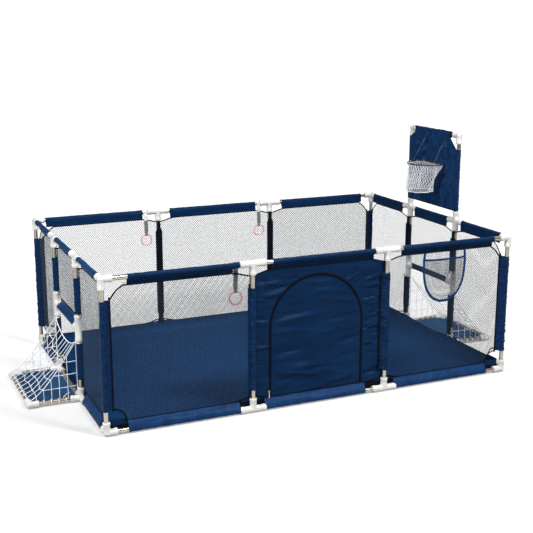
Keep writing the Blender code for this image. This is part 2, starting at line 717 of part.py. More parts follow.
def strap_mesh(x, sign):
    """A webbing strap: a loop round the rail, a hanging tail and an eye round the ring."""
    rail = Vector((0, sign * HALF_Y, HIGH_Z))
    ring = Vector((0, sign * (HALF_Y - RING_INSET), EYE_Z))
    left = Vector((x - STRAP_W / 2, 0, 0))
    right = Vector((x + STRAP_W / 2, 0, 0))
    loop_out = STRAP_LOOP_R + STRAP_THICK
    eye_out = RING_EYE_R + STRAP_THICK
    base = rod(rail + left, rail + right, loop_out)
    eye = rod(ring + left, ring + right, eye_out)
    start = rail + Vector((0, -sign * (STRAP_LOOP_R + STRAP_THICK / 2) * FLAT, 0))
    drop = (ring - start).normalized()
    side = Vector((0, drop.z, -drop.y)) * STRAP_THICK / 2
    foot = ring - drop * RING_EYE_R
    head = start + drop * STRAP_THICK
    tail_loops = []
    for edge in (left, right):
        tail_loops.append([head + edge + side, head + edge - side, foot + edge - side, foot + edge + side])
    tail = mesh_of(skin_loops(tail_loops))
    reach = Vector((STRAP_W / 2, 0, 0))
    holes = [
        rod(rail + left - reach, rail + right + reach, STRAP_LOOP_R),
        rod(ring + left - reach, ring + right + reach, RING_EYE_R),
    ]
    return carved(base, [tail, eye], holes)


def add_rings(webbing, pink):
    """The three straps, each hinged on a top rail, and the ring in each strap's eye."""
    spots = (("front", -POST_X, -1), ("back_left", -POST_X, 1), ("back_right", POST_X, 1))
    for name, post_x, sign in spots:
        x = post_x - STRAP_OFFSET
        place(f"ring_strap_{name}", strap_mesh(x, sign), webbing, (x, sign * HALF_Y, HIGH_Z))
        centre = (x, sign * (HALF_Y - RING_INSET), RING_TOP_Z - RING_R)
        circle = []
        for i in range(RING_STEPS):
            angle = math.tau * (i + 0.5) / RING_STEPS
            spot = (RING_R * math.sin(angle), 0, RING_R * math.cos(angle))
            circle.append(Vector(centre) + Vector(spot))
        ring = wire_loop(circle, RING_SECTION_R, WIRE_SIDES)
        place(f"pull_ring_{name}", ring, pink, (x, centre[1], EYE_Z))


def main():
    """Builds every sub-part."""
    for old in list(bpy.data.objects):
        bpy.data.objects.remove(old, do_unlink=True)
    steel = material("tube_steel", (0.72, 0.68, 0.60), 0.3, 1.0)
    wire = material("hoop_wire", (0.03, 0.03, 0.035), 0.4)
    plastic = material("white_plastic", (0.86, 0.86, 0.84), 0.4)
    navy = material("navy_cloth", (0.02, 0.06, 0.16), 0.8)
    netting = material("grey_netting", (0.75, 0.76, 0.74), 0.9)
    webbing = material("grey_webbing", (0.45, 0.47, 0.48), 0.9)
    pink = material("pink_plastic", (0.85, 0.45, 0.55), 0.35)
    zinc = material("zip_zinc", (0.75, 0.75, 0.76), 0.3, 1.0)
    add_corners(plastic)
    add_top_tees(plastic)
    add_top_rails(steel)
    add_bottom_rails(steel)
    add_posts(steel)
    add_crossbars(steel)
    add_goal_bases(steel)
    add_board_frame(steel)
    add_walls(navy, netting)
    add_floor_mat(navy)
    add_door(navy, zinc)
    add_pocket(netting)
    add_goal_nets(netting)
    add_board_cover(navy)
    add_hoop(wire, netting)
    add_rings(webbing, pink)


main()
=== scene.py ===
"""The looks of the tube-and-connector play yard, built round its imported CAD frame."""

import math

import bmesh
import bpy
import numpy as np
from mathutils import Matrix, Vector, noise
from mathutils.geometry import delaunay_2d_cdt


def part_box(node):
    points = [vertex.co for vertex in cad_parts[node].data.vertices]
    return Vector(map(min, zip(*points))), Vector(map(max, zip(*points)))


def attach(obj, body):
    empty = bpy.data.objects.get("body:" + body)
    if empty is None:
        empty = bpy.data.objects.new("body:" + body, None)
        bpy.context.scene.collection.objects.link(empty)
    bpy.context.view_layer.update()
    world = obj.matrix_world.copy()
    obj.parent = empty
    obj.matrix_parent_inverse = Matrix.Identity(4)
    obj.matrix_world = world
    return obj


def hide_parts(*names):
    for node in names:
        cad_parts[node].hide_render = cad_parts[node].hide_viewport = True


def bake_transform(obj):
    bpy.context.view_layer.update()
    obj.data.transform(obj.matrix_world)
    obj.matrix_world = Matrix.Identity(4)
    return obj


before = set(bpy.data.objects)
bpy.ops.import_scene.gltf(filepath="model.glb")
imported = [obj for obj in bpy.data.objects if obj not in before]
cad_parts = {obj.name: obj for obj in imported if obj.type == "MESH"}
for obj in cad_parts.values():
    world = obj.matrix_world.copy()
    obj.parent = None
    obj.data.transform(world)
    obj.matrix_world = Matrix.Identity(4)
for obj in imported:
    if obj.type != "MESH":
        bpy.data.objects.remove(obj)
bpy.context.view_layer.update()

X = Vector((1, 0, 0))
Y = Vector((0, 1, 0))
Z = Vector((0, 0, 1))


def middle(node):
    """The middle of a CAD node's box."""
    low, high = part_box(node)
    return (low + high) / 2


# Axes of the frame's tubes
HALF_X = middle("rail_top_right").x
HALF_Y = middle("rail_top_back").y
HIGH_Z = middle("rail_top_back").z
LOW_Z = middle("goal_base_left").z
MID_Z = middle("goal_crossbar_left").z
POST_X = middle("post_front_right").x
POST_Y = middle("goal_post_right_back").y
BASE_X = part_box("goal_base_right")[1].x - LOW_Z
BOARD_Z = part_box("board_frame")[1].z - LOW_Z
HOOP_LOW, HOOP_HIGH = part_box("hoop")
DOOR_LOW, DOOR_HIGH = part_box("door_flap")
SLIDER_LOW, SLIDER_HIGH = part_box("zip_slider")
POCKET_LOW, POCKET_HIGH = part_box("pocket")
COVER_LOW, COVER_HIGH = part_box("board_cover")
MAT_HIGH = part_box("floor_mat")[1]

CENTRE = Vector((0, 0, 0))
# Radii, wall and lengths of the tubes and connectors
TUBE_R = 0.0095
TUBE_WALL = 0.0006
BODY_R = 0.0140
COLLAR_R = 0.0152
HUB_R = 0.0149
TEE_HALF = 0.056
TEE_LEG = 0.046
CORNER_ARM = 0.042
ELBOW_ARM = 0.040
TUBE_INSET = 0.0135
BORE_STOP = 0.012
# A sleeve's radius round its tube, the rail sleeves' ruffle, and how far inside the rails' axes
# the wall's outer and inner faces are
SLEEVE_R = 0.0108
RAIL_RUFFLE = 0.0009
WALL_OUT = 0.0103
WALL_IN = 0.0115
WALL_MID = (WALL_OUT + WALL_IN) / 2
# From a rail's or a crossbar's axis to its sleeve's binding, from a rail's to the netting's edge
# under the sleeve, and from the binding's middle back to the sleeve's hem
BAND = 0.036
CROSS_BAND = {"left": BAND, "right": 0.020}
HEM_COVER = 0.024
HEM_INSET = 0.002
# The cut-outs at the posts: half length along the rail and depth at the post
NOTCH_HALF = 0.083
NOTCH_DIP = 0.052
# The cut-outs at the corners: reach along the rail, reach up the post and start beside the post
CUT_U = 0.085
CUT_V = 0.088
CUT_IN = 0.034
SIDES = ("front", "back", "left", "right")
LONG_SIDES = (("front", -1), ("back", 1))
ENDS = (("left", -1), ("right", 1))
SIGN = dict(LONG_SIDES + ENDS)
INWARD = {"front": Y, "back": -Y, "left": X, "right": -X}


def on_side(side, u, z, inset=0.0):
    """A point u along a side and z up, set in from its rails' axes."""
    if side in ("front", "back"):
        return Vector((u, SIGN[side] * (HALF_Y - inset), z))
    return Vector((SIGN[side] * (HALF_X - inset), u, z))


def bays_of(side):
    """A side's three bays: where each starts and ends, and what stands there."""
    half, post = (HALF_X, POST_X) if side in ("front", "back") else (HALF_Y, POST_Y)
    return [(-half, -post, "corner", "post"), (-post, post, "post", "post"), (post, half, "post", "corner")]


# ---------------------------------------------------------------- camera
CAMERA_LENS = 68.07
CAMERA_SPOT = Vector((-1.834, -4.218, 1.579))
CAMERA_AIM = Vector((0.022, 0, 0.4495))


def add_camera():
    """The camera at the photograph's angle."""
    data = bpy.data.cameras.new("camera")
    data.lens = CAMERA_LENS
    data.sensor_width = 36
    data.clip_end = 60
    camera = bpy.data.objects.new("camera", data)
    camera.location = CAMERA_SPOT
    camera.rotation_euler = (CAMERA_AIM - CAMERA_SPOT).to_track_quat("-Z", "Y").to_euler()
    bpy.context.collection.objects.link(camera)
    bpy.context.scene.camera = camera


# ---------------------------------------------------------------- materials
def graph(name, colour, roughness, metallic=0.0, **uniform):
    """A new material, its node tree and its shader."""
    made = bpy.data.materials.new(name)
    made.use_nodes = True
    tree = made.node_tree
    shader = tree.nodes["Principled BSDF"]
    shader.inputs["Base Color"].default_value = (*colour, 1)
    shader.inputs["Roughness"].default_value = roughness
    shader.inputs["Metallic"].default_value = metallic
    for socket, value in uniform.items():
        shader.inputs[socket.replace("_", " ")].default_value = value
    made.diffuse_color = (*colour, 1)
    return made, tree, shader


def node(tree, kind, links=(), **values):
    """A node with its inputs set or linked."""
    made = tree.nodes.new(kind)
    for key, value in values.items():
        if key in made.inputs:
            made.inputs[key].default_value = value
        else:
            setattr(made, key, value)
    for socket, source in links:
        tree.links.new(source, made.inputs[socket])
    return made


def noise_of(tree, coord, scale, detail, stretch=(1, 1, 1)):
    """Noise over the surface, stretched along the axes."""
    mapping = node(tree, "ShaderNodeMapping", [("Vector", coord)])
    mapping.inputs["Scale"].default_value = stretch
    made = node(tree, "ShaderNodeTexNoise", [("Vector", mapping.outputs[0])], Scale=scale, Detail=detail)
    return made.outputs["Fac"]


def blend_colours(tree, factor, dark, light):
    """A colour between dark and light by a factor."""
    ramp = node(tree, "ShaderNodeValToRGB", [("Fac", factor)])
    ramp.color_ramp.elements[0].position = 0.3
    ramp.color_ramp.elements[1].position = 0.7
    ramp.color_ramp.elements[0].color = (*dark, 1)
    ramp.color_ramp.elements[1].color = (*light, 1)
    return ramp.outputs["Color"]


def spread(tree, factor, low, high):
    """A factor mapped to a range."""
    limits = {"To Min": low, "To Max": high}
    return node(tree, "ShaderNodeMapRange", [("Value", factor)], **limits).outputs[0]


def bumps(tree, shader, layers):
    """Bump from several heights: (height, strength, distance) each."""
    normal = None
    for height, strength, distance in layers:
        links = [("Height", height)]
        if normal is not None:
            links.append(("Normal", normal))
        normal = node(tree, "ShaderNodeBump", links, Strength=strength, Distance=distance).outputs[0]
    tree.links.new(normal, shader.inputs["Normal"])


def weave_height(tree, coord, period):
    """The height of a plain weave that works on any plane."""
    total = None
    for axis in ("X", "Y", "Z"):
        threads = node(tree, "ShaderNodeTexWave", [("Vector", coord)], bands_direction=axis)
        threads.inputs["Scale"].default_value = 0.314 / period
        threads.inputs["Distortion"].default_value = 0.6
        threads.inputs["Detail Scale"].default_value = 3.0
        height = threads.outputs["Fac"]
        if total is None:
            total = height
        else:
            total = node(tree, "ShaderNodeMath", [(0, total), (1, height)], operation="ADD").outputs[0]
    return total


def cloth_material(
    name, dark, light, roughness, crease, period=0.0012, stretch=(1, 1, 1), gloss=0.05, grain=9
):
    """Woven cloth with mottling, weave and fine creases."""
    made, tree, shader = graph(name, light, roughness, Specular_IOR_Level=gloss)
    coord = node(tree, "ShaderNodeTexCoord").outputs["Object"]
    # The patches give the cloth's own uneven tone; where a material below sets them bold and wide, they also
    # paint highlights on folds and ruffles
    patches = noise_of(tree, coord, grain, 5, stretch)
    threads = noise_of(tree, coord, 420, 2)
    mixed = node(tree, "ShaderNodeMath", [(0, patches), (1, threads)], operation="ADD").outputs[0]
    half = node(tree, "ShaderNodeMath", [(0, mixed)], operation="MULTIPLY")
    half.inputs[1].default_value = 0.5
    tree.links.new(blend_colours(tree, half.outputs[0], dark, light), shader.inputs["Base Color"])
    tree.links.new(spread(tree, patches, roughness - 0.1, roughness + 0.1), shader.inputs["Roughness"])
    soft = noise_of(tree, coord, 26, 4, stretch)
    level = noise_of(tree, coord, 5, 3, (1, 1, 6))
    weave = weave_height(tree, coord, period)
    bumps(tree, shader, [(level, crease, 0.012), (soft, crease, 0.006), (weave, 0.35, 0.0002)])
    return made


def tube_material(name, base, deep, roughness):
    """Bright drawn tube with fine scratches and a slightly worn lacquer."""
    made, tree, shader = graph(name, base, roughness, 1.0, Anisotropic=0.3)
    coord = node(tree, "ShaderNodeTexCoord").outputs["Object"]
    wear = noise_of(tree, coord, 38, 5)
    tree.links.new(blend_colours(tree, wear, deep, base), shader.inputs["Base Color"])
    scratches = noise_of(tree, coord, 700, 4)
    tree.links.new(spread(tree, scratches, roughness - 0.06, roughness + 0.1), shader.inputs["Roughness"])
    bumps(tree, shader, [(scratches, 0.08, 0.0002)])
    return made


def plastic_material(name, base, shade, roughness, coat=0.0):
    """Moulded plastic with a faint skin and slight unevenness."""
    made, tree, shader = graph(name, base, roughness, Coat_Weight=coat, Coat_Roughness=0.15)
    coord = node(tree, "ShaderNodeTexCoord").outputs["Object"]
    cloud = noise_of(tree, coord, 30, 4)
    tree.links.new(blend_colours(tree, cloud, shade, base), shader.inputs["Base Color"])
    skin = noise_of(tree, coord, 900, 2)
    tree.links.new(spread(tree, cloud, roughness - 0.05, roughness + 0.08), shader.inputs["Roughness"])
    bumps(tree, shader, [(cloud, 0.06, 0.002), (skin, 0.05, 0.0002)])
    return made


def thread_material(name, base, shade, scale):
    """Twisted cord, webbing or knitted thread."""
    roughness = 0.85
    made, tree, shader = graph(name, base, roughness, Sheen_Weight=0.15)
    coord = node(tree, "ShaderNodeTexCoord").outputs["Object"]
    fibres = noise_of(tree, coord, scale, 3)
    tree.links.new(blend_colours(tree, fibres, shade, base), shader.inputs["Base Color"])
    tree.links.new(spread(tree, fibres, roughness - 0.08, roughness + 0.05), shader.inputs["Roughness"])
    bumps(tree, shader, [(fibres, 0.4, 0.0005)])
    return made


NAVY = cloth_material(
    "navy_oxford", dark=(0.0026, 0.0165, 0.056), light=(0.0042, 0.026, 0.080), roughness=0.40, crease=0.75
)
# The posts' sleeve cloth is a little glossier. Its bold mottling, stretched up the posts, paints highlights
# on the ruffles as well as giving the cloth's uneven tone.
NAVY_PAINTED_SHEEN = cloth_material(
    "navy_painted_sheen",
    dark=(0.0010, 0.008, 0.034),
    light=(0.0062, 0.036, 0.118),
    roughness=0.36,
    crease=0.9,
    stretch=(1, 1, 3),
    gloss=0.08,
    grain=55,
)
# A lighter copy of the navy cloth as painted light, used where that cloth is more strongly lit: the board,
# the left side's top sleeves and crossbar, and the bottom sleeves' upward faces. Its bold mottling also
# paints highlights along the board's creases.
NAVY_PAINTED_LIT = cloth_material(
    "navy_painted_lit",
    dark=(0.0024, 0.017, 0.064),
    light=(0.0100, 0.053, 0.165),
    roughness=0.38,
    crease=0.75,
    gloss=0.07,
    grain=26,
)
NAVY_MAT = cloth_material(
    "navy_mat",
    dark=(0.0052, 0.029, 0.090),
    light=(0.0080, 0.038, 0.114),
    roughness=0.6,
    crease=0.35,
    period=0.0016,
    gloss=0.0,
)
NAVY_GROUND = cloth_material(
    "navy_ground", dark=(0.011, 0.046, 0.116), light=(0.018, 0.063, 0.152), roughness=0.5, crease=0.4
)
NAVY_TRIM = cloth_material(
    "navy_trim", dark=(0.006, 0.030, 0.120), light=(0.010, 0.045, 0.160), roughness=0.5, crease=0.2
)
BLACK = cloth_material(
    "black_binding",
    dark=(0.003, 0.004, 0.006),
    light=(0.006, 0.007, 0.011),
    roughness=0.6,
    crease=0.2,
    period=0.001,
)
STEEL = tube_material("champagne_tube", (0.80, 0.73, 0.62), (0.70, 0.62, 0.50), 0.24)
ZINC = tube_material("zip_zinc", (0.78, 0.78, 0.80), (0.62, 0.62, 0.64), 0.28)
PLASTIC = plastic_material("moulded_white", (0.77, 0.77, 0.745), (0.70, 0.70, 0.67), 0.36, 0.15)
PINK = plastic_material("moulded_pink", (0.86, 0.36, 0.46), (0.80, 0.30, 0.42), 0.30, 0.3)
WIRE = plastic_material("black_wire", (0.012, 0.012, 0.016), (0.020, 0.020, 0.024), 0.38, 0.2)
NETTING = thread_material("knitted_netting", (0.019, 0.037, 0.060), (0.012, 0.026, 0.044), 500)
CORD = thread_material("white_cord", (0.93, 0.94, 0.95), (0.84, 0.85, 0.87), 700)
WEBBING = thread_material("ribbed_webbing", (0.17, 0.19, 0.185), (0.09, 0.10, 0.10), 800)
PALE_WEBBING = thread_material("pale_webbing", (0.70, 0.72, 0.71), (0.58, 0.60, 0.60), 800)

SLOTS = {
    "navy_cloth": (NAVY, NAVY_PAINTED_SHEEN, NAVY_PAINTED_LIT, NAVY_MAT, NAVY_GROUND, NAVY_TRIM, BLACK),
    "tube_steel": (STEEL,),
    "zip_metal": (ZINC,),
    "white_plastic": (PLASTIC,),
    "pink_plastic": (PINK,),
    "hoop_wire": (WIRE,),
    "grey_netting": (NETTING, CORD),
    "grey_webbing": (WEBBING, PALE_WEBBING),
}
SLOT_OF = {skin.name: slot for slot, skins in SLOTS.items() for skin in skins}


# ---------------------------------------------------------------- pieces
def piece(name, verts, faces, skin, body="frame", stands_for=(), angle=35):
    """A named piece from points and faces, riding on a body."""
    return finish_piece(name, mesh_from(verts, faces, name), skin, body, stands_for, angle)


def finish_piece(name, mesh, skin, body="frame", stands_for=(), angle=35):
    """A piece from a mesh, smooth where faces meet at less than the angle."""
    mesh.shade_smooth()
    mesh.set_sharp_from_angle(angle=math.radians(angle))
    mesh.materials.clear()
    mesh.materials.append(skin)
    made = bpy.data.objects.new(name, mesh)
    bpy.context.collection.objects.link(made)
    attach(made, body)
    if stands_for:
        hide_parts(*stands_for)
    return made


class Stock:
    """Points and faces gathered from several shapes into one piece."""

    def __init__(self):
        self.verts = []
        self.faces = []

    def add(self, verts, faces):
        start = len(self.verts)
        self.verts += [tuple(v) for v in verts]
        self.faces += [tuple(start + i for i in f) for f in faces]

    def line(self, points, radius, sides=6, closed=False):
        self.add(*line_of(points, radius, sides, closed))

    def tape(self, points, normals, width, thick):
        self.add(*strip(points, normals, width, thick))

    def piece(self, name, skin, body="frame", stands_for=(), angle=35):
        return piece(name, self.verts, self.faces, skin, body, stands_for, angle)


def loft(rings, closed=False, caps=True):
    """Points and faces through rings of points with the same count."""
    count = len(rings[0])
    verts = [p for ring in rings for p in ring]
    faces = []
    for i in range(len(rings) if closed else len(rings) - 1):
        one = i * count
        other = ((i + 1) % len(rings)) * count
        for k in range(count):
            j = (k + 1) % count
            faces.append((one + k, one + j, other + j, other + k))
    if caps and not closed:
        faces.append(tuple(range(count)))
        faces.append(tuple(range(len(verts) - count, len(verts))))
    return verts, faces


def square_to(direction):
    """Two unit vectors square to a direction."""
    across = Z if abs(direction.z) < 0.9 else X
    first = (across - direction * across.dot(direction)).normalized()
    return first, direction.cross(first)


def circle(centre, direction, radius, sides):
    """A ring of points round an axis."""
    first, second = square_to(direction)
    turn = math.tau / sides
    angles = [turn * i for i in range(sides)]
    return [centre + (first * math.cos(angle) + second * math.sin(angle)) * radius for angle in angles]


def lathe(start, direction, profile, sides=28):
    """A turned solid from (distance along, radius) pairs."""
    return loft([circle(start + direction * s, direction, r, sides) for s, r in profile])


def turn_outwards(mesh):
    """Make a mesh's faces point out of it."""
    shape = bmesh.new()
    shape.from_mesh(mesh)
    bmesh.ops.recalc_face_normals(shape, faces=shape.faces)
    shape.to_mesh(mesh)
    shape.free()


def mesh_from(verts, faces, name="shape"):
    """A mesh from points and faces."""
    mesh = bpy.data.meshes.new(name)
    mesh.from_pydata([tuple(v) for v in verts], [], [tuple(f) for f in faces])
    turn_outwards(mesh)
    return mesh


def carved(base, joined=(), removed=()):
    """A mesh with solids united to it and then others cut from it."""
    host = bpy.data.objects.new("host", base)
    bpy.context.collection.objects.link(host)
    tools = []
    for operation, solids in (("UNION", joined), ("DIFFERENCE", removed)):
        for solid in solids:
            tool = bpy.data.objects.new("tool", solid)
            bpy.context.collection.objects.link(tool)
            step = host.modifiers.new("carve", "BOOLEAN")
            step.operation = operation
            step.solver = "EXACT"
            step.object = tool
            tools.append(tool)
    graph_now = bpy.context.evaluated_depsgraph_get()
    result = bpy.data.meshes.new_from_object(host.evaluated_get(graph_now))
    for spent in (host, *tools):
        bpy.data.objects.remove(spent, do_unlink=True)
    return result


def along_path(points, radius, sides=6, closed=False):
    """Rings of points along a path, without twist."""
    points = [Vector(p) for p in points]
    count = len(points)
    rings = []
    first = None
    for i, point in enumerate(points):
        before = points[i - 1] if i or closed else point
        after = points[(i + 1) % count] if i < count - 1 or closed else point
        tangent = (after - before).normalized()
        if first is None:
            first = square_to(tangent)[0]
        first = (first - tangent * first.dot(tangent)).normalized()
        second = tangent.cross(first)
        ring = []
        for k in range(sides):
            angle = math.tau * k / sides
            ring.append(point + (first * math.cos(angle) + second * math.sin(angle)) * radius)
        rings.append(ring)
    return rings


def line_of(points, radius, sides=6, closed=False):
    """A round line of thread, cord or wire along points."""
    return loft(along_path(points, radius, sides, closed), closed)


def strip(points, normals, width, thick):
    """A flat tape along a path, with rounded edges; normals point out of its face."""
    points = [Vector(p) for p in points]
    count = len(points)
    if isinstance(normals, Vector):
        normals = [normals] * count
    rings = []
    for i, point in enumerate(points):
        before = (point - points[i - 1]) if i else None
        after = (points[i + 1] - point) if i < count - 1 else None
        inward = (before or after).normalized()
        outward = (after or before).normalized()
        tangent = (inward + outward).normalized()
        stretch = min(1 / max(tangent.dot(outward), 0.4), 1.6)
        normal = (normals[i] - tangent * normals[i].dot(tangent)).normalized()
        side = tangent.cross(normal) * stretch * (width / 2)
        section = ((-1, 0), (-0.8, 0.5), (0.8, 0.5), (1, 0), (0.8, -0.5), (-0.8, -0.5))
        rings.append([point + side * a + normal * (b * thick) for a, b in section])
    return loft(rings)


def wave(value, seed):
    """Smooth noise from -1 to 1."""
    return noise.noise(Vector((value, seed * 3.71, 0.37)))


# ---------------------------------------------------------------- tubes
def tube(name, start, end, stands_for):
    """A bare round tube with its wall, standing for a CAD node."""
    start, end = Vector(start), Vector(end)
    way = (end - start).normalized()
    inner = TUBE_R - TUBE_WALL
    places = ((start, TUBE_R), (end, TUBE_R), (end, inner), (start, inner))
    verts, faces = loft([circle(centre, way, radius, 28) for centre, radius in places], closed=True)
    return piece(name, verts, faces, STEEL, "frame", [stands_for])


def add_tubes():
    """All the straight tubes, each between two connectors."""
    inset = TUBE_INSET
    for level, z in (("top", HIGH_Z), ("bottom", LOW_Z)):
        for side in SIDES:
            for i, (a, b, *_) in enumerate(bays_of(side)):
                start, end = on_side(side, a + inset, z), on_side(side, b - inset, z)
                tube(f"tube_{level}_{side}_{i + 1}", start, end, f"rail_{level}_{side}")
    low, high = LOW_Z + inset, HIGH_Z - inset
    bar = POST_Y - inset
    for side, sign_y in LONG_SIDES:
        for end, sign_x in ENDS:
            x, y = sign_x * HALF_X, sign_y * HALF_Y
            goal = (x, sign_y * POST_Y)
            goal_post = f"goal_post_{end}_{side}"
            for name, spot, foot, head, stands_for in (
                (f"tube_corner_{side}_{end}", (x, y), low, high, f"post_corner_{side}_{end}"),
                (f"tube_post_{side}_{end}", (sign_x * POST_X, y), low, high, f"post_{side}_{end}"),
                (f"tube_goal_low_{end}_{side}", goal, low, MID_Z - 0.002, goal_post),
                (f"tube_goal_high_{end}_{side}", goal, MID_Z + 0.002, high, goal_post),
            ):
                tube(name, (*spot, foot), (*spot, head), stands_for)
    for end, sign in ENDS:
        x, far = sign * HALF_X, sign * BASE_X
        base = f"goal_base_{end}"
        tube(f"tube_crossbar_{end}", (x, -bar, MID_Z), (x, bar, MID_Z), f"goal_crossbar_{end}")
        tube(f"tube_base_outer_{end}", (far, -bar, LOW_Z), (far, bar, LOW_Z), base)
        for side, sign_y in LONG_SIDES:
            near_end = (x + sign * inset, sign_y * POST_Y, LOW_Z)
            tube(f"tube_base_{side}_{end}", near_end, (far - sign * inset, sign_y * POST_Y, LOW_Z), base)
    for side, sign in LONG_SIDES:
        spot = (HALF_X, sign * POST_Y)
        tube(f"tube_board_{side}", (*spot, HIGH_Z + inset), (*spot, BOARD_Z - inset), "board_frame")
    tube("tube_board_top", (HALF_X, -bar, BOARD_Z), (HALF_X, bar, BOARD_Z), "board_frame")


# ---------------------------------------------------------------- connectors
def arm_profile(length, fillet=True):
    """A connector's arm from its hub outwards: a fillet, a slim barrel and a flared collar."""
    profile = [(0.0, BODY_R)]
    if fillet:
        for s, grow in ((0.0135, 0.0009), (0.0155, 0.0007), (0.0185, 0.0003), (0.0210, 0.0001)):
            profile.append((s, BODY_R + grow))
    profile += [
        (length - 0.0125, BODY_R),
        (length - 0.0110, COLLAR_R - 0.0003),
        (length - 0.0100, COLLAR_R),
        (length - 0.0016, COLLAR_R),
        (length - 0.0005, COLLAR_R - 0.0004),
        (length, COLLAR_R - 0.0012),
    ]
    return profile


def arm(way, length, fillet=True):
    """One arm, as a mesh."""
    return mesh_from(*lathe(CENTRE, way, arm_profile(length, fillet)))


def bore(way, length):
    """The socket of an arm, as a cutter."""
    radius = TUBE_R + 0.0003
    return mesh_from(*lathe(way * BORE_STOP, way, [(0, radius), (length, radius)]))


def barrel(way):
    """The through body of a tee, as a mesh."""
    half = arm_profile(TEE_HALF, False)[1:]
    profile = [(-s, r) for s, r in half[::-1]] + half
    return mesh_from(*lathe(CENTRE, way, profile))


def dimple(point, way):
    """A small round cutter at a point of a connector's skin."""
    return mesh_from(*lathe(Vector(point) - way * 0.0012, way, [(0, 0.0021), (0.006, 0.0021)], 12))


def hub(radius):
    """A ball at a connector's centre that rounds its outer corner."""
    profile = []
    for i in range(1, 12):
        angle = math.pi * i / 12
        profile.append((-math.cos(angle) * radius, math.sin(angle) * radius))
    return mesh_from(*lathe(CENTRE, X, profile))


def corner_shape():
    """Three arms, along +X, +Y and -Z."""
    ways = [X, Y, -Z]
    arms = [arm(way, CORNER_ARM, False) for way in ways]
    cuts = [bore(way, CORNER_ARM) for way in ways]
    cuts += [
        dimple((0.026, -BODY_R, 0), -Y),
        dimple((-BODY_R, 0.026, 0), -X),
        dimple((0, -BODY_R, -0.026), -Y),
    ]
    return carved(hub(HUB_R), arms, cuts)


def tee_shape(legs):
    """A body along X with legs."""
    arms = [arm(way, TEE_LEG) for way in legs]
    cuts = [bore(way, TEE_LEG) for way in legs]
    cuts += [bore(X, TEE_HALF), bore(-X, TEE_HALF)]
    return carved(barrel(X), arms, cuts)


def elbow_shape():
    """Two arms, along +X and +Y."""
    arms = [arm(way, ELBOW_ARM, False) for way in (X, Y)]
    return carved(hub(HUB_R), arms, [bore(way, ELBOW_ARM) for way in (X, Y)])


def connector(name, shape, spot, axes, stands_for):
    """A connector whose own X, Y and Z point along axes, standing for a CAD node."""
    mesh = shape.copy()
    turn = Matrix(axes).transposed().to_4x4()
    mesh.transform(Matrix.Translation(spot) @ turn)
    turn_outwards(mesh)
    return finish_piece(f"connector_{name}", mesh, PLASTIC, "frame", [stands_for])


def add_connectors():
    """The white plastic corners, tees, four-ways and elbows."""
    corner = corner_shape()
    tee = tee_shape([-Z])
    four = tee_shape([-Z, Z])
    side_four = tee_shape([Z, Y])
    elbow = elbow_shape()
    for side, sy in LONG_SIDES:
        y, goal_y = sy * HALF_Y, sy * POST_Y
        for end, sx in ENDS:
            x, post_x = sx * HALF_X, sx * POST_X
            for level, z, up in (("top", HIGH_Z, 1), ("bottom", LOW_Z, -1)):
                name = f"corner_{level}_{side}_{end}"
                connector(name, corner, (x, y, z), (X * -sx, Y * -sy, Z * up), name)
            name = f"tee_top_{side}_{end}"
            connector(name, tee, (post_x, y, HIGH_Z), (X, Y, Z), name)
            name = f"tee_bottom_{side}_{end}"
            connector(name, tee, (post_x, y, LOW_Z), (X, Y, -Z), f"rail_bottom_{side}")
            name = f"four_bottom_{end}_{side}"
            connector(name, side_four, (x, goal_y, LOW_Z), (Y, X * sx, Z), f"rail_bottom_{end}")
            name = f"tee_goal_{end}_{side}"
            connector(name, tee, (x, goal_y, MID_Z), (Z, X, Y * sy), f"goal_crossbar_{end}")
            name = f"elbow_base_{end}_{side}"
            spot = (sx * BASE_X, goal_y, LOW_Z)
            connector(name, elbow, spot, (X * -sx, Y * -sy, Z), f"goal_base_{end}")
        name = f"tee_top_left_{side}"
        connector(name, tee, (-HALF_X, goal_y, HIGH_Z), (Y, X, Z), name)
        right = (HALF_X, goal_y)
        connector(f"four_top_right_{side}", four, (*right, HIGH_Z), (Y, X, Z), f"four_way_right_{side}")
        connector(f"elbow_board_{side}", elbow, (*right, BOARD_Z), (-Z, Y * -sy, X), "board_frame")


# ---------------------------------------------------------------- sleeves
# A profile's rows are (n, b, normal n, normal b, freedom to ruffle); n runs into the yard from the
# tube's axis and b runs from it towards the hem.
def arc(start, end, steps):
    """Points on the tube side of a sleeve; 0 degrees faces inwards and 90 away from the band."""
    points = []
    for i in range(steps + 1):
        angle = math.radians(start + (end - start) * i / steps)
        n, b = math.cos(angle), -math.sin(angle)
        points.append((n * SLEEVE_R, b * SLEEVE_R, n, b, 1.0))
    return points


def hem_inside(reach):
    """The inner face of a rail's sleeve, from the hem to the tube."""
    return [(0.0118, reach, 0.5, 0.8, 0.3), (0.0118, reach * 0.7, 1, 0, 0.3), (0.0118, 0.010, 1, 0, 0.2)]


def band_profile(reach):
    """A rail's sleeve: round the tube, sewn together, and down to the hem along the wall."""
    outer = [
        (0.0020, 0.0146, -0.55, 0.83, 0.8),
        (0.0078, 0.0188, -0.8, 0.6, 0.4),
        (0.0092, 0.0215, -1, 0, 0.2),
        (0.0093, reach * 0.8, -1, 0, 0.3),
        (0.0095, reach, -0.5, 0.8, 0.3),
    ]
    return hem_inside(reach) + arc(5, 232, 18) + outer


def snug_profile(reach):
    """A crossbar's sleeve: close round the tube, with a short hem."""
    outer = [
        (0.0024, 0.0134, -0.55, 0.83, 0.8),
        (0.0080, 0.0156, -0.8, 0.6, 0.4),
        (0.0095, reach, -0.5, 0.8, 0.3),
    ]
    return hem_inside(reach) + arc(5, 232, 18) + outer


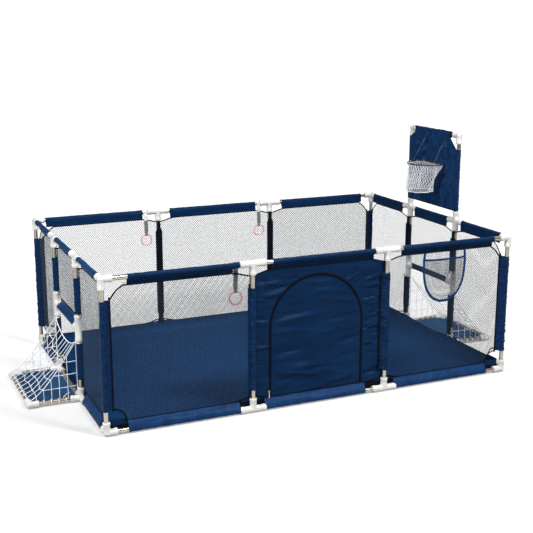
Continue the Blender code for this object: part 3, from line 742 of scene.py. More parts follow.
def tent_profile(reach):
    """A bottom rail's sleeve: round the tube and straight up to the hem, like a small tent."""
    outer = [
        (-0.0098, 0.0070, -0.9, 0.4, 0.9),
        (-0.0062, 0.0132, -0.85, 0.5, 0.9),
        (-0.0018, 0.0196, -0.83, 0.55, 0.8),
        (0.0030, 0.0262, -0.83, 0.55, 0.6),
        (0.0088, reach, -0.5, 0.8, 0.3),
    ]
    return hem_inside(reach) + arc(5, 196, 16) + outer


def omega_profile(reach):
    """A post's sleeve: over the tube, with both edges sewn to the wall."""
    one = [
        (0.0096, -reach, -0.7, -0.7, 0.1),
        (0.0086, -reach + 0.002, -1, 0, 0.2),
        (0.0030, -0.0128, -0.7, -0.7, 0.9),
    ]
    two = [
        (0.0030, 0.0128, -0.7, 0.7, 0.9),
        (0.0086, reach - 0.002, -1, 0, 0.2),
        (0.0096, reach, -0.7, 0.7, 0.1),
    ]
    back = [(0.0122, reach, 0.7, 0.7, 0.1), (0.0124, 0, 1, 0, 0.2), (0.0122, -reach, 0.7, -0.7, 0.1)]
    return one + arc(128, 232, 12) + two + back


def corner_profile(reach):
    """A corner post's sleeve, with an edge on each of two walls; n is one's inward normal, b the other's."""
    first = [(0.0095, reach, -1, 0, 0.2), (0.0093, 0.0215, -1, 0, 0.2), (0.0080, 0.0172, -0.9, 0.4, 0.4)]
    second = [(0.0172, 0.0080, 0.4, -0.9, 0.4), (0.0215, 0.0093, 0, -1, 0.2), (reach, 0.0095, 0, -1, 0.2)]
    inner = [
        (reach, 0.0118, 0, 1, 0.2),
        (0.0215, 0.0119, 0, 1, 0.2),
        (0.0121, 0.0121, 0.7, 0.7, 0.0),
        (0.0119, 0.0215, 1, 0, 0.2),
        (0.0118, reach, 1, 0, 0.2),
    ]
    return first + arc(218, 52, 18) + second + inner


def sleeve(name, start, end, inward, band, profile, ruffle, seed, twist=0.0, skin=NAVY):
    """Cloth round a tube: a profile carried from start to end, with ruffles."""
    start, end = Vector(start), Vector(end)
    length = (end - start).length
    way = (end - start) / length
    count = max(8, round(length / 0.0035))
    rings = []
    for i in range(count + 1):
        s = length * i / count
        hem = 0.0005 if min(s, length - s) < 0.0085 else 0.0
        ring = []
        for k, (n, b, nn, nb, free) in enumerate(profile):
            place = s + twist * k
            fold = wave(place * 95, seed) + 0.6 * wave(place * 210 + k * 0.08, seed + 5)
            puff = wave(s * 14 + k * 0.2, seed + 9)
            grow = free * (max(ruffle * (fold + 0.5 * puff), -0.0006) + hem)
            slack = 0.0006 * wave(s * 22, seed + 3) * (1 - free)
            along = 0.0012 * wave(k * 0.9, seed) if i in (0, count) else 0.0
            out = inward * (n + nn * grow) + band * (b + nb * (grow + slack))
            ring.append(start + way * (s + along) + out)
        rings.append(ring)
    return piece(name, *loft(rings), skin, angle=50)


def rail_sleeve(name, side, span, z, band, profile, seed, skin):
    """A sleeve on a rail; span is where it starts and ends along the side."""
    start, end = [on_side(side, u, z) for u in span]
    sleeve(f"sleeve_{name}", start, end, INWARD[side], band, profile, RAIL_RUFFLE, seed, skin=skin)


def spans_of(side, gaps):
    """Where a side's three sleeves start and end, from their gaps to the connectors; none without gaps."""
    spans = []
    for (start, end, *_), gap in zip(bays_of(side), gaps):
        spans.append((start + gap[0], end - gap[1]) if gap else None)
    return spans


def add_rail_sleeves():
    """The sleeves on the rails of all four sides and on the goals' crossbars."""
    profile = band_profile(BAND - HEM_INSET)
    tent = tent_profile(BAND - HEM_INSET)
    # A goal's middle bay has no bottom sleeve
    end_tops = spans_of("left", [(0.045, 0.060), (0.060, 0.060), (0.060, 0.045)])
    end_lows = spans_of("left", [(0.072, 0.060), None, (0.060, 0.072)])
    tops = {
        "front": [(-0.827, -0.392), (-0.223, 0.249), (0.385, 0.852)],
        "back": spans_of("back", [(0.050, 0.084), (0.062, 0.085), (0.068, 0.070)]),
        "left": end_tops,
        "right": end_tops,
    }
    lows = {
        "front": [(-0.841, -0.369), (-0.258, 0.215), (0.359, 0.843)],
        "back": spans_of("back", [(0.086, 0.058), (0.058, 0.078), (0.058, 0.086)]),
        "left": end_lows,
        "right": end_lows,
    }
    for side, seed in (("front", 6), ("back", 16), ("left", 46), ("right", 56)):
        # The left side's top sleeves take the lighter navy as painted light on the lamp-lit side; the bottom
        # sleeves take it as painted light on their upward faces
        skin = NAVY_PAINTED_LIT if side == "left" else NAVY
        for i, span in enumerate(tops[side]):
            rail_sleeve(f"top_{side}_{i + 1}", side, span, HIGH_Z, -Z, profile, seed + i, skin)
        for i, span in enumerate(lows[side]):
            if span:
                rail_sleeve(f"bottom_{side}_{i + 1}", side, span, LOW_Z, Z, tent, seed + 20 + i, NAVY_PAINTED_LIT)
    # The left crossbar's sleeve takes the lighter navy as painted light
    for side, skin, bar_profile, seed in (
        ("left", NAVY_PAINTED_LIT, profile, 80),
        ("right", NAVY, snug_profile(CROSS_BAND["right"] - HEM_INSET), 82),
    ):
        span = (-POST_Y + 0.054, POST_Y - 0.054)
        rail_sleeve(f"crossbar_{side}", side, span, MID_Z, Z, bar_profile, seed, skin)
    add_sleeve_tip()


def add_sleeve_tip():
    """The rolled end of the first front top sleeve, where it laps the tube."""
    shell = [(n * 0.0128, b * 0.0128) for _, _, n, b, _ in arc(82, 262, 14)]
    shell += [(n * 0.0117, b * 0.0117) for _, _, n, b, _ in arc(262, 82, 14)]
    rings = []
    for x in (-0.3945, -0.390, -0.384, -0.377, -0.3695):
        swell = 1 + 0.02 * wave(x * 160, 3)
        rings.append([Vector((x, -HALF_Y + n * swell, HIGH_Z - b * swell)) for n, b in shell])
    piece("sleeve_top_front_1_tip", *loft(rings), NAVY, angle=50)


def post_sleeve(name, spot, span, inward, band, profile, ruffle, seed, twist=0.0, skin=NAVY_PAINTED_SHEEN):
    """A sleeve on an upright tube; span is its foot and its top."""
    foot, top = span
    sleeve(f"sleeve_{name}", (*spot, foot), (*spot, top), inward, band, profile, ruffle, seed, twist, skin)


def add_post_sleeves():
    """The sleeves on the corner posts, the long sides' posts and the goal posts."""
    corner, goal = corner_profile(0.029), omega_profile(0.0165)
    for side, sy in LONG_SIDES:
        for end, sx in ENDS:
            loose = (side, end) == ("front", "right")
            number = 3 * sx + 7 * sy
            name = f"corner_{side}_{end}"
            spot = (sx * HALF_X, sy * HALF_Y)
            ruffle = 0.0044 if loose else 0.0028
            post_sleeve(name, spot, (0.102, 0.545), Y * -sy, X * -sx, corner, ruffle, 101 + number)
            name = f"post_{side}_{end}"
            spot = (sx * POST_X, sy * HALF_Y)
            profile = omega_profile(0.0225 if loose else 0.0175)
            ruffle, twist = (0.0085, 0.0016) if loose else (0.0019, 0.0)
            post_sleeve(name, spot, (0.098, 0.532), Y * -sy, X, profile, ruffle, 131 + number, twist)
            spot = (sx * HALF_X, sy * POST_Y)
            for level, span, seed in (
                ("high", (MID_Z + 0.062, 0.540), 161 + number),
                ("low", (0.098, MID_Z - 0.064), 162 + number),
            ):
                name = f"goal_{level}_{end}_{side}"
                post_sleeve(name, spot, span, X * -sx, Y, goal, 0.0017, seed, skin=NAVY)


# ---------------------------------------------------------------- walls
def inside(outline, u, v):
    """Whether a point is inside an outline."""
    found = False
    for (u0, v0), (u1, v1) in zip(outline, outline[1:] + outline[:1]):
        if (v0 > v) != (v1 > v) and u < (u1 - u0) * (v - v0) / (v1 - v0) + u0:
            found = not found
    return found


def area_of(outline):
    """The area of an outline."""
    pairs = zip(outline, outline[1:] + outline[:1])
    return abs(sum(u0 * v1 - u1 * v0 for (u0, v0), (u1, v1) in pairs)) / 2


def swoop(post, side, axis, way):
    """Half of a cut-out's edge, from the post outwards; side and way are -1 or 1, along and up."""
    points = []
    for i in range(9):
        share = i / 8
        drop = (1 + math.cos(math.pi * share)) / 2
        points.append((post + side * NOTCH_HALF * share, axis + way * (BAND + (NOTCH_DIP - BAND) * drop)))
    return points


def corner_curve(corner, side, axis, way, hollow):
    """The cut-out at a corner, from the post to the rail; hollow bends it towards the connector."""
    start = (corner + side * CUT_IN, axis + way * CUT_V)
    end = (corner + side * CUT_U, axis + way * BAND)
    points = []
    for i in range(9):
        share = i / 8
        u = start[0] + (end[0] - start[0]) * share
        v = start[1] + (end[1] - start[1]) * share
        bow = hollow * math.sin(math.pi * share)
        points.append((u + side * bow, v + way * bow))
    return points


def edge_curves(u0, u1, left, right):
    """A bay's four cut-outs, each from post to rail: bottom and top left, then bottom and top right."""
    curves = []
    for u, side, kind in ((u0, 1, left), (u1, -1, right)):
        for axis, way, hollow in ((LOW_Z, 1, 0.010), (HIGH_Z, -1, -0.004)):
            if kind == "corner":
                curves.append(corner_curve(u, side, axis, way, hollow))
            else:
                curves.append(swoop(u, side, axis, way))
    return curves


def bay_outline(u0, u1, left, right):
    """A bay's outline, with its edges under the sleeves' hems."""
    low_left, high_left, low_right, high_right = edge_curves(u0, u1, left, right)
    edge_left = u0 + (0.0135 if left == "corner" else 0.0)
    edge_right = u1 - (0.0135 if right == "corner" else 0.0)
    outline = low_left + [(low_left[-1][0], LOW_Z + HEM_COVER)]
    outline += [(low_right[-1][0], LOW_Z + HEM_COVER)] + low_right[::-1]
    outline += [(edge_right, low_right[0][1]), (edge_right, high_right[0][1])]
    outline += high_right + [(high_right[-1][0], HIGH_Z - HEM_COVER)]
    outline += [(high_left[-1][0], HIGH_Z - HEM_COVER)] + high_left[::-1]
    outline += [(edge_left, high_left[0][1]), (edge_left, low_left[0][1])]
    return outline


def strands(outline, pitch, lean, width, thick, surface, step=0.024, lobes=False):
    """Two families of leaning threads clipped to an outline; surface turns (u, v, lift) into a point."""
    section = LOBED_SECTION if lobes else PLAIN_SECTION
    stock = Stock()
    for family, tilt in enumerate((lean, -lean)):
        du, dv = math.cos(tilt), math.sin(tilt)
        nu, nv = -dv, du
        offsets = [u * nu + v * nv for u, v in outline]
        lift = (0.5 - family) * thick * 0.5
        row = math.ceil(min(offsets) / pitch)
        while row * pitch < max(offsets):
            c = row * pitch
            crossings = crossings_of(outline, (nu, nv), (du, dv), c)
            for s0, s1 in zip(crossings[::2], crossings[1::2]):
                if s1 - s0 < 0.002:
                    continue
                count = max(1, round((s1 - s0) / step))
                rings = []
                for i in range(count + 1):
                    s = s0 + (s1 - s0) * i / count
                    u, v = c * nu + s * du, c * nv + s * dv
                    ring = []
                    for a, b in section:
                        a, b = a * width / 2, lift + b * thick / 2
                        ring.append(surface(u + nu * a, v + nv * a, b))
                    rings.append(ring)
                stock.add(*loft(rings, caps=False))
            row += 1
    return stock


def crossings_of(outline, normal, along, level):
    """Where a line at a level along a normal crosses an outline, as distances along it."""
    (nu, nv), (du, dv) = normal, along
    found = []
    for (u0, v0), (u1, v1) in zip(outline, outline[1:] + outline[:1]):
        a = u0 * nu + v0 * nv - level
        b = u1 * nu + v1 * nv - level
        if (a > 0) != (b > 0):
            share = a / (a - b)
            u, v = u0 + (u1 - u0) * share, v0 + (v1 - v0) * share
            found.append(u * du + v * dv)
    return sorted(found)


# How far the walls' netting bulges
WALL_SAG = 0.003
# Cross-sections of a netting thread: a diamond and a thin four-pointed star
PLAIN_SECTION = ((1, 0), (0, 1), (-1, 0), (0, -1))
LOBED_SECTION = ((1, 0), (0.1, 0.1), (0, 1), (-0.1, 0.1), (-1, 0), (-0.1, -0.1), (0, -1), (0.1, -0.1))
# The netting's pitch and lean, and its threads' width and thickness, on the long sides and then the ends
NET_PITCH = 0.0080
NET_LEAN = math.radians(52)
NET_WIDTH = 0.0009
NET_THICK = 0.00115
# How much wider the threads of the back bays are, as painted shade: the thicker dark threads stand for the
# shade over those bays
NET_SHADE_GROWTH = {"netting_back_1": 1.5, "netting_back_2": 1.85, "netting_back_3": 2.4}
END_NET_PITCH = 0.0088
# The right end's threads are wider than the left's, as painted shade on that end
END_NET_WIDTH = {"left": 0.0011, "right": 0.0015}
END_NET_THICK = 0.0008


def wall_surface(side, sag, seed):
    """A function from (u, v, lift) to a point on a wall; lift is outwards."""

    def surface(u, v, lift=0.0):
        rise = min(max((v - LOW_Z - BAND) / 0.12, 0), 1) * min(max((HIGH_Z - BAND - v) / 0.12, 0), 1)
        flow = noise.noise(Vector((u * 5.0, v * 1.6, seed)))
        flow += 0.5 * noise.noise(Vector((u * 13.0, v * 4.0, seed + 4)))
        return on_side(side, u, v, WALL_MID - (sag * rise * flow + lift))

    return surface


def netting(name, side, outline, seed, stands_for=()):
    """A panel of knitted netting in a wall."""
    surface = wall_surface(side, WALL_SAG, seed)
    if side in END_NET_WIDTH:
        width = END_NET_WIDTH[side]
        stock = strands(outline, END_NET_PITCH, NET_LEAN, width, END_NET_THICK, surface, lobes=True)
    else:
        width = NET_WIDTH * NET_SHADE_GROWTH.get(name, 1.0)
        stock = strands(outline, NET_PITCH, NET_LEAN, width, NET_THICK, surface)
    made = stock.piece(name, NETTING, "frame", stands_for, 80)
    area_of(outline)


def add_netting_walls():
    """The mesh panels of the four walls."""
    for side in ("front", "back"):
        stands_for = ["wall_back"] if side == "back" else []
        for i in (0, 2) if side == "front" else (0, 1, 2):
            outline = bay_outline(*bays_of(side)[i])
            netting(f"netting_{side}_{i + 1}", side, outline, 3.0 + i + len(side), stands_for)
    for side in ("left", "right"):
        for i in (0, 2):
            outline = bay_outline(*bays_of(side)[i])
            netting(f"netting_{side}_{i + 1}", side, outline, 13.0 + i + len(side), [f"wall_{side}"])
        outline = goal_outline(CROSS_BAND[side] - 0.012)
        netting(f"netting_{side}_2", side, outline, 23.0 + len(side), [f"wall_{side}"])


def binding(name, side, curves, width):
    """Bound edges along curves of (u, v) points in a wall."""
    surface = wall_surface(side, 0.0, 0)
    stock = Stock()
    for curve in curves:
        stock.tape([surface(u, v) for u, v in curve], -INWARD[side], width, 0.0018)
    stock.piece(f"binding_{name}", BLACK, angle=60)


def add_bindings():
    """The walls' bound edges: round every bay, down the corners and round the goals' openings."""
    top, low = HIGH_Z - BAND + 0.001, LOW_Z + BAND - 0.001
    for side in SIDES:
        curves = []
        for i, bay in enumerate(bays_of(side)):
            low_left, high_left, low_right, high_right = edge_curves(*bay)
            over_goal = side in ("left", "right") and i == 1
            curves += [high_left, high_right] if over_goal else [low_left, high_left, low_right, high_right]
            curves.append([(high_left[-1][0] - 0.003, top), (high_right[-1][0] + 0.003, top)])
            if not over_goal:
                curves.append([(low_left[-1][0] - 0.003, low), (low_right[-1][0] + 0.003, low)])
        binding(side, side, curves, 0.0062)
    for side in SIDES:
        half = bays_of(side)[2][1] - 0.0325
        curves = [[(u, v) for v in (0.095, 0.20, 0.32, 0.44, 0.555)] for u in (-half, half)]
        binding(f"corner_{side}", side, curves, 0.0085)
    for side in ("left", "right"):
        curves = []
        for end in (-1, 1):
            for w in (-1, 1):
                u = end * POST_Y + w * 0.0185
                curves.append([(u, MID_Z + 0.045), (u, 0.46), (u, 0.545)])
            u = end * (POST_Y + 0.0185)
            curves.append([(u, 0.095), (u, 0.18), (u, MID_Z - 0.050)])
            u = end * (POST_Y - 0.0175)
            curves.append([(u, 0.095), (u, 0.18), (u, MID_Z - 0.060)])
        level = MID_Z + CROSS_BAND[side]
        curves.append([(-POST_Y + 0.052, level), (0, level), (POST_Y - 0.052, level)])
        binding(f"goal_{side}", side, curves, 0.0062)


def add_inner_tapes():
    """The black tapes that tie the walls to the posts, on the inner side."""
    for side in SIDES:
        out = -INWARD[side]
        long_side = side in ("front", "back")
        post = POST_X if long_side else POST_Y
        width, tab = (0.027, 0.017) if long_side else (0.025, 0.016)
        stock = Stock()
        for u in (-post, post):
            if long_side:
                foot = 0.030 if side == "front" else 0.047
                stock.tape([on_side(side, u, z, 0.0164) for z in (foot, 0.067)], out, 0.034, 0.0010)
                runs = [(0.048, 0.16, 0.30, 0.42, 0.546)]
            else:
                runs = [(MID_Z + 0.060, 0.46, 0.546), (0.048, 0.14, MID_Z - 0.062)]
            for run in runs:
                stock.tape([on_side(side, u, z, 0.0138) for z in run], out, width, 0.0011)
            stock.tape([on_side(side, u, z, 0.0138) for z in (0.545, 0.579)], out, tab, 0.0010)
        stock.piece(f"tape_post_{side}", BLACK, angle=60)


def goal_outline(rise):
    """The netting over a goal's crossbar, from a rise above its axis."""
    _, high_left, _, high_right = edge_curves(-POST_Y, POST_Y, "post", "post")
    low = [(-POST_Y, MID_Z + 0.040), (-POST_Y + 0.050, MID_Z + rise)]
    outline = low + [(-u, v) for u, v in low[::-1]]
    outline += high_right + [(high_right[-1][0], HIGH_Z - HEM_COVER)]
    outline += [(high_left[-1][0], HIGH_Z - HEM_COVER)] + high_left[::-1]
    return outline


# ---------------------------------------------------------------- cloth
def resampled(outline, spacing, closed=True):
    """An outline with points no further apart than spacing."""
    made = []
    ends = outline[1:] + outline[:1] if closed else outline[1:]
    for (u0, v0), (u1, v1) in zip(outline, ends):
        count = max(1, math.ceil(math.hypot(u1 - u0, v1 - v0) / spacing))
        made += [(u0 + (u1 - u0) * i / count, v0 + (v1 - v0) * i / count) for i in range(count)]
    if not closed:
        made.append(outline[-1])
    return made


def filled(outlines, spacing):
    """Points and triangles inside the first outline and outside the others."""
    points, edges = [], []
    for outline in outlines:
        ring = resampled(outline, spacing)
        start = len(points)
        points += ring
        edges += [(start + i, start + (i + 1) % len(ring)) for i in range(len(ring))]
    border = np.array(points)
    us, vs = border[:, 0], border[:, 1]
    rows = int((vs.max() - vs.min()) / (spacing * 0.87)) + 1
    columns = int((us.max() - us.min()) / spacing) + 1
    for j in range(rows):
        for i in range(columns):
            u = us.min() + (i + 0.5 * (j % 2)) * spacing
            v = vs.min() + j * spacing * 0.87
            if np.min((us - u) ** 2 + (vs - v) ** 2) > (0.55 * spacing) ** 2:
                if sum(inside(o, u, v) for o in outlines) == 1:
                    points.append((u, v))
    made = delaunay_2d_cdt([Vector(p) for p in points], edges, [], 0, 1e-7)
    verts, triangles = made[0], made[2]
    kept = []
    for tri in triangles:
        u = sum(verts[i].x for i in tri) / len(tri)
        v = sum(verts[i].y for i in tri) / len(tri)
        if sum(inside(o, u, v) for o in outlines) == 1:
            kept.append(tuple(tri))
    return [(p.x, p.y) for p in verts], kept


def creased(seed, box, count, angle, spread_angle, length, depth, width):
    """A function from (u, v) to a lift: soft folds at seeded places in a box about one angle, in degrees."""
    dice = np.random.RandomState(seed)
    u0, v0, u1, v1 = box
    folds = []
    for _ in range(count):
        turn = math.radians(angle + spread_angle * dice.uniform(-1, 1))
        folds.append(
            (
                dice.uniform(u0, u1),
                dice.uniform(v0, v1),
                math.cos(turn),
                math.sin(turn),
                length * dice.uniform(0.5, 1.2),
                depth * dice.uniform(0.35, 1.0) * dice.choice((-1, 1)),
                width * dice.uniform(0.6, 1.4),
            )
        )

    def lift(u, v):
        total = 0.0
        for cu, cv, du, dv, reach, high, wide in folds:
            s = (u - cu) * du + (v - cv) * dv
            if abs(s) < reach:
                d = -(u - cu) * dv + (v - cv) * du + 0.08 * s * s / reach
                total += high * math.exp(-((d / wide) ** 2)) * (1 - (s / reach) ** 2) ** 2
        return total

    return lift


def cloth_piece(name, outlines, spacing, place, thick, skin, body="frame", stands_for=()):
    """A sheet of cloth of a thickness; place turns (u, v, lift) into a point."""
    flat_points, triangles = filled(outlines, spacing)
    count = len(flat_points)
    verts = [place(u, v, thick / 2) for u, v in flat_points]
    verts += [place(u, v, -thick / 2) for u, v in flat_points]
    faces = list(triangles) + [tuple(count + i for i in tri[::-1]) for tri in triangles]
    uses = {}
    for tri in triangles:
        for a, b in zip(tri, tri[1:] + tri[:1]):
            key = (min(a, b), max(a, b))
            uses[key] = None if key in uses else (a, b)
    for pair in uses.values():
        if pair:
            a, b = pair
            faces.append((a, b, count + b, count + a))
    return piece(name, verts, faces, skin, body, stands_for)


DOOR_X = (DOOR_LOW.x + DOOR_HIGH.x) / 2
DOOR_SLIT = 0.001
DOOR_R = (DOOR_HIGH.x - DOOR_LOW.x) / 2 + DOOR_SLIT
DOOR_SPRING = DOOR_HIGH.z + DOOR_SLIT - DOOR_R
DOOR_SILL = DOOR_LOW.z - DOOR_SLIT


def arch(grow, sill):
    """The door's edge as (u, v) points, from the foot of its left side over the arch to the right."""
    radius = DOOR_R + grow
    points = [(DOOR_X - radius, sill), (DOOR_X - radius, (sill + DOOR_SPRING) / 2)]
    for i in range(33):
        angle = math.pi - math.pi * i / 32
        points.append((DOOR_X + radius * math.cos(angle), DOOR_SPRING + radius * math.sin(angle)))
    points += [(DOOR_X + radius, (sill + DOOR_SPRING) / 2), (DOOR_X + radius, sill)]
    return points


def zip_teeth(offset, start, surface, foot):
    """Small teeth along one side of the zip."""
    stock = Stock()
    path = resampled(arch(offset, DOOR_SILL + foot), 0.0036, False)
    section = ((-0.0009, 0.0010), (-0.0006, 0.0022), (0.0006, 0.0022), (0.0009, 0.0010))
    for i, ((u0, v0), (u1, v1)) in enumerate(zip(path, path[1:])):
        if i % 2 != start:
            continue
        du, dv = u1 - u0, v1 - v0
        size = math.hypot(du, dv)
        du, dv = du / size, dv / size
        rings = []
        for s in (0.0, 0.0024):
            u, v = u0 + du * s, v0 + dv * s
            rings.append([surface(u - dv * a, v + du * a, lift) for a, lift in section])
        stock.add(*loft(rings))
    return stock


def add_front_door():
    """The front's solid middle bay, its arched zip door and the zip."""
    outline = bay_outline(-POST_X, POST_X, "post", "post")
    surface = wall_surface("front", 0.0, 0)
    folds = (
        creased(7, (-0.31, 0.07, 0.31, 0.60), 30, 3, 10, 0.19, 0.0085, 0.011),
        creased(8, (-0.31, 0.47, 0.31, 0.60), 12, 24, 40, 0.12, 0.0075, 0.009),
        creased(9, (0.21, 0.09, 0.30, 0.56), 30, 8, 18, 0.060, 0.0068, 0.0060),
        creased(10, (-0.30, 0.09, -0.25, 0.56), 22, -6, 16, 0.055, 0.0060, 0.0060),
    )

    def past_arch(u, v):
        return math.hypot(u - DOOR_X, max(v - DOOR_SPRING, 0)) - DOOR_R

    def bay(u, v, lift):
        rim = min(abs(abs(u) - POST_X), abs(v - LOW_Z - BAND), abs(HIGH_Z - BAND - v)) / 0.03
        ease = min(rim, 1) * min(max(past_arch(u, v), 0) / 0.02, 1)
        return surface(u, v, lift + ease * (0.0006 + sum(fold(u, v) for fold in folds)))

    hole = arch(0.0, DOOR_SILL)
    outlines = [outline, hole]
    made = cloth_piece("panel_front_middle", outlines, 0.0055, bay, 0.0011, NAVY, "frame", ["wall_front"])
    area = area_of(outline) - area_of(hole)
    belly = creased(17, (-0.23, 0.06, 0.20, 0.55), 28, 4, 13, 0.24, 0.0068, 0.011)

    def flap(u, v, lift):
        ease = min(max(-past_arch(u, v), 0) / 0.035, 1) * min((v - DOOR_SILL) / 0.03, 1)
        return surface(u, v, lift + ease * (0.0020 + belly(u, v)))

    flap_outline = arch(-DOOR_SLIT, DOOR_SILL + DOOR_SLIT)
    door = cloth_piece("flap_door", [flap_outline], 0.0060, flap, 0.0011, NAVY, "door", ["door_flap"])
    area_of(flap_outline)
    for name, body, offset, foot, lift, width, thick in (
        ("zip_tape_fixed", "frame", 0.0028, 0.001, 0.0009, 0.0056, 0.0012),
        ("zip_tape_door", "door", -0.0034, 0.006, 0.0009, 0.0056, 0.0012),
        ("zip_coil_door", "door", -0.0002, 0.006, 0.0024, 0.0042, 0.0011),
    ):
        tape = Stock()
        path = resampled(arch(offset, DOOR_SILL + foot), 0.02, False)
        tape.tape([surface(u, v, lift) for u, v in path], -Y, width, thick)
        tape.piece(name, BLACK, body, angle=60)
    zip_teeth(0.0030, 0, surface, 0.002).piece("zip_teeth_fixed", BLACK)
    zip_teeth(-0.0026, 1, surface, 0.006).piece("zip_teeth_door", BLACK, "door")
    add_front_seams(surface)


def add_front_seams(surface):
    """The black seams of the front's middle bay: its right edge, its top and the door's sill. The right
    edge's wide, raised strip is partly a seam and partly painted shadow where the panel meets the post's
    sleeve.
    """
    top = HIGH_Z - BAND + 0.001
    # The right edge's wide, raised strip is partly seam and partly painted shadow
    right = [(POST_X - 0.0262, 0.10), (POST_X - 0.0270, 0.3), (POST_X - 0.0258, 0.53)]
    level = [(-POST_X + 0.088, top), (POST_X - 0.062, top)]
    sill = [(u, DOOR_SILL + 0.0010) for u in (DOOR_X - DOOR_R, DOOR_X, DOOR_X + DOOR_R)]
    edge = Stock()
    for line, lift, width, thick in (
        (right, 0.0030, 0.0064, 0.0050),
        (level, 0.0012, 0.0030, 0.0012),
        (sill, -0.0015, 0.0100, 0.0008),
    ):
        edge.tape([surface(u, v, lift) for u, v in line], -Y, width, thick)
    edge.piece("seam_front_middle", BLACK, angle=60)


def add_slider():
    """The zip's slider with its bridge and its pull."""
    centre = (SLIDER_LOW + SLIDER_HIGH) / 2
    x, y, back = centre.x, centre.y, SLIDER_HIGH.y
    top, low = SLIDER_HIGH.z, SLIDER_LOW.z
    stock = Stock()
    # Levels of the body: (below the top, half width, thickness)
    body = []
    for down, half, thick in (
        (0, 0.0028, 0.0016),
        (0.002, 0.0040, 0.0022),
        (0.009, 0.0036, 0.0022),
        (0.0135, 0.0026, 0.0016),
    ):
        z, front = top - down, back - thick
        outer = half * 0.8
        section = ((x - half, back), (x - outer, front), (x + outer, front), (x + half, back))
        body.append([Vector((*spot, z)) for spot in section])
    stock.add(*loft(body))
    bridge = ((0.0018, 0.001), (0.0040, 0.0025), (0.0042, 0.008), (0.0018, 0.0105))
    stock.line([(x, back - out, top - down) for out, down in bridge], 0.0007, 8)
    # Levels of the pull: (above its foot, half width)
    tab = []
    for up, half in ((0, 0.0012), (0.0015, 0.0024), (0.010, 0.0024), (0.020, 0.0014), (0.0245, 0.0013)):
        section = ((-half, -0.0005), (half, -0.0005), (half, 0.0005), (-half, 0.0005))
        tab.append([Vector((x + a, y + b, low + up)) for a, b in section])
    stock.add(*loft(tab))
    stock.piece("slider_zip", ZINC, "slider", ["zip_slider"])


def add_mat():
    """The floor sheet with soft ripples."""
    folds = creased(27, (-0.9, -0.6, 0.9, 0.6), 60, 30, 90, 0.30, 0.0016, 0.020)
    half_x, half_y, top = MAT_HIGH

    def ground(u, v, lift):
        rim = min((half_x - abs(u)) / 0.05, (half_y - abs(v)) / 0.05, 1)
        swell = 0.0022 * max(noise.noise(Vector((u * 3.1, v * 3.1, 2.0))), -0.2)
        rise = max(rim, 0) * max(swell + folds(u, v) + 0.0006, -0.0001)
        return Vector((u, v, top / 2 + 0.0002 + lift + rise))

    outline = [(-half_x, -half_y), (half_x, -half_y), (half_x, half_y), (-half_x, half_y)]
    mat = cloth_piece("mat_floor", [outline], 0.016, ground, 0.0018, NAVY_MAT, "frame", ["floor_mat"])


def add_mat_edge():
    """The mat's turned-up edge, highest at the posts."""
    half_x, half_y = MAT_HIGH.x, MAT_HIGH.y
    # (in from the edge, height) from the mat up to the crest
    profile = [(0.070, 0.0034), (0.034, 0.0048), (0.016, 0.0100), (0.0066, 0.0210), (0.0028, 0.0340)]
    long_side = [2 * i / 40 - 1 for i in range(40)]
    short_side = [2 * i / 28 - 1 for i in range(28)]
    spots = [(t, -1) for t in long_side] + [(1, t) for t in short_side]
    spots += [(-t, 1) for t in long_side] + [(-1, -t) for t in short_side]
    rings = []
    for a, b in spots:
        near = min((1 - abs(a)) * half_x + (1 - abs(b)) * half_y, 0.12) / 0.12
        on_long_side = abs(b) > 0.99
        off_post = abs(abs(a) * half_x - POST_X) if on_long_side else abs(abs(b) * half_y - POST_Y)
        away = min(off_post, 0.12) / 0.12
        rise = 0.014 if b > 0.99 else 0.009
        crest = 0.034 + 0.014 * near + 0.0035 * wave(a * 7 + b * 9, 6) + rise * (1 - away**2) ** 2
        ripple = 0.0012 * wave(a * 31 + b * 23, 2)
        levels = [(n, min(z, crest - 0.002)) for n, z in profile] + [(0.0022, crest)]
        ring = []
        for thick in (0.0, 0.0011):
            side_points = []
            for n, z in levels:
                n = n + ripple * (1 if n < 0.03 else 0) + max(ripple, 0) + thick * 0.8
                side_points.append(Vector((a * (half_x - n), b * (half_y - n), z + thick * 0.6)))
            ring += side_points if thick == 0.0 else side_points[::-1]
        rings.append(ring)
    piece("upstand_mat", *loft(rings, closed=True), NAVY_MAT, angle=60)


def add_mat_lining():
    """The black lining behind the mat's edge at the posts, and the navy pieces at its corners, which are
    partly tape and partly painted shade on the mat's upturned corners.
    """
    lining, corner = Stock(), Stock()
    for half, reach, post, along, out in (
        (-MAT_HIGH.y, MAT_HIGH.x, POST_X, X, Y),
        (MAT_HIGH.y, MAT_HIGH.x, POST_X, X, Y),
        (-MAT_HIGH.x, MAT_HIGH.y, POST_Y, Y, X),
        (MAT_HIGH.x, MAT_HIGH.y, POST_Y, Y, X),
    ):
        sign = 1 if half > 0 else -1
        ends = [(-reach + 0.002, -reach + 0.078), (reach - 0.078, reach - 0.002)]
        # The navy corner pieces are partly tape and partly painted shade of the upturned mat in the corners
        for span in ends:
            line = [along * t + out * (half - sign * 0.0018) + Z * 0.033 for t in span]
            corner.tape(line, out * sign, 0.054, 0.0008)
        posts = [(p - 0.088, p + 0.088) for p in (-post, post)]
        for spans, tall in ((posts, 0.044), (ends, 0.030)):
            for span in spans:
                line = [along * t + out * (half - sign * 0.0008) + Z * (0.004 + tall / 2) for t in span]
                lining.tape(line, out * sign, tall, 0.0008)
    lining.piece("lining_mat", BLACK, angle=60)
    corner.piece("tape_and_shade_corners", NAVY, angle=60)


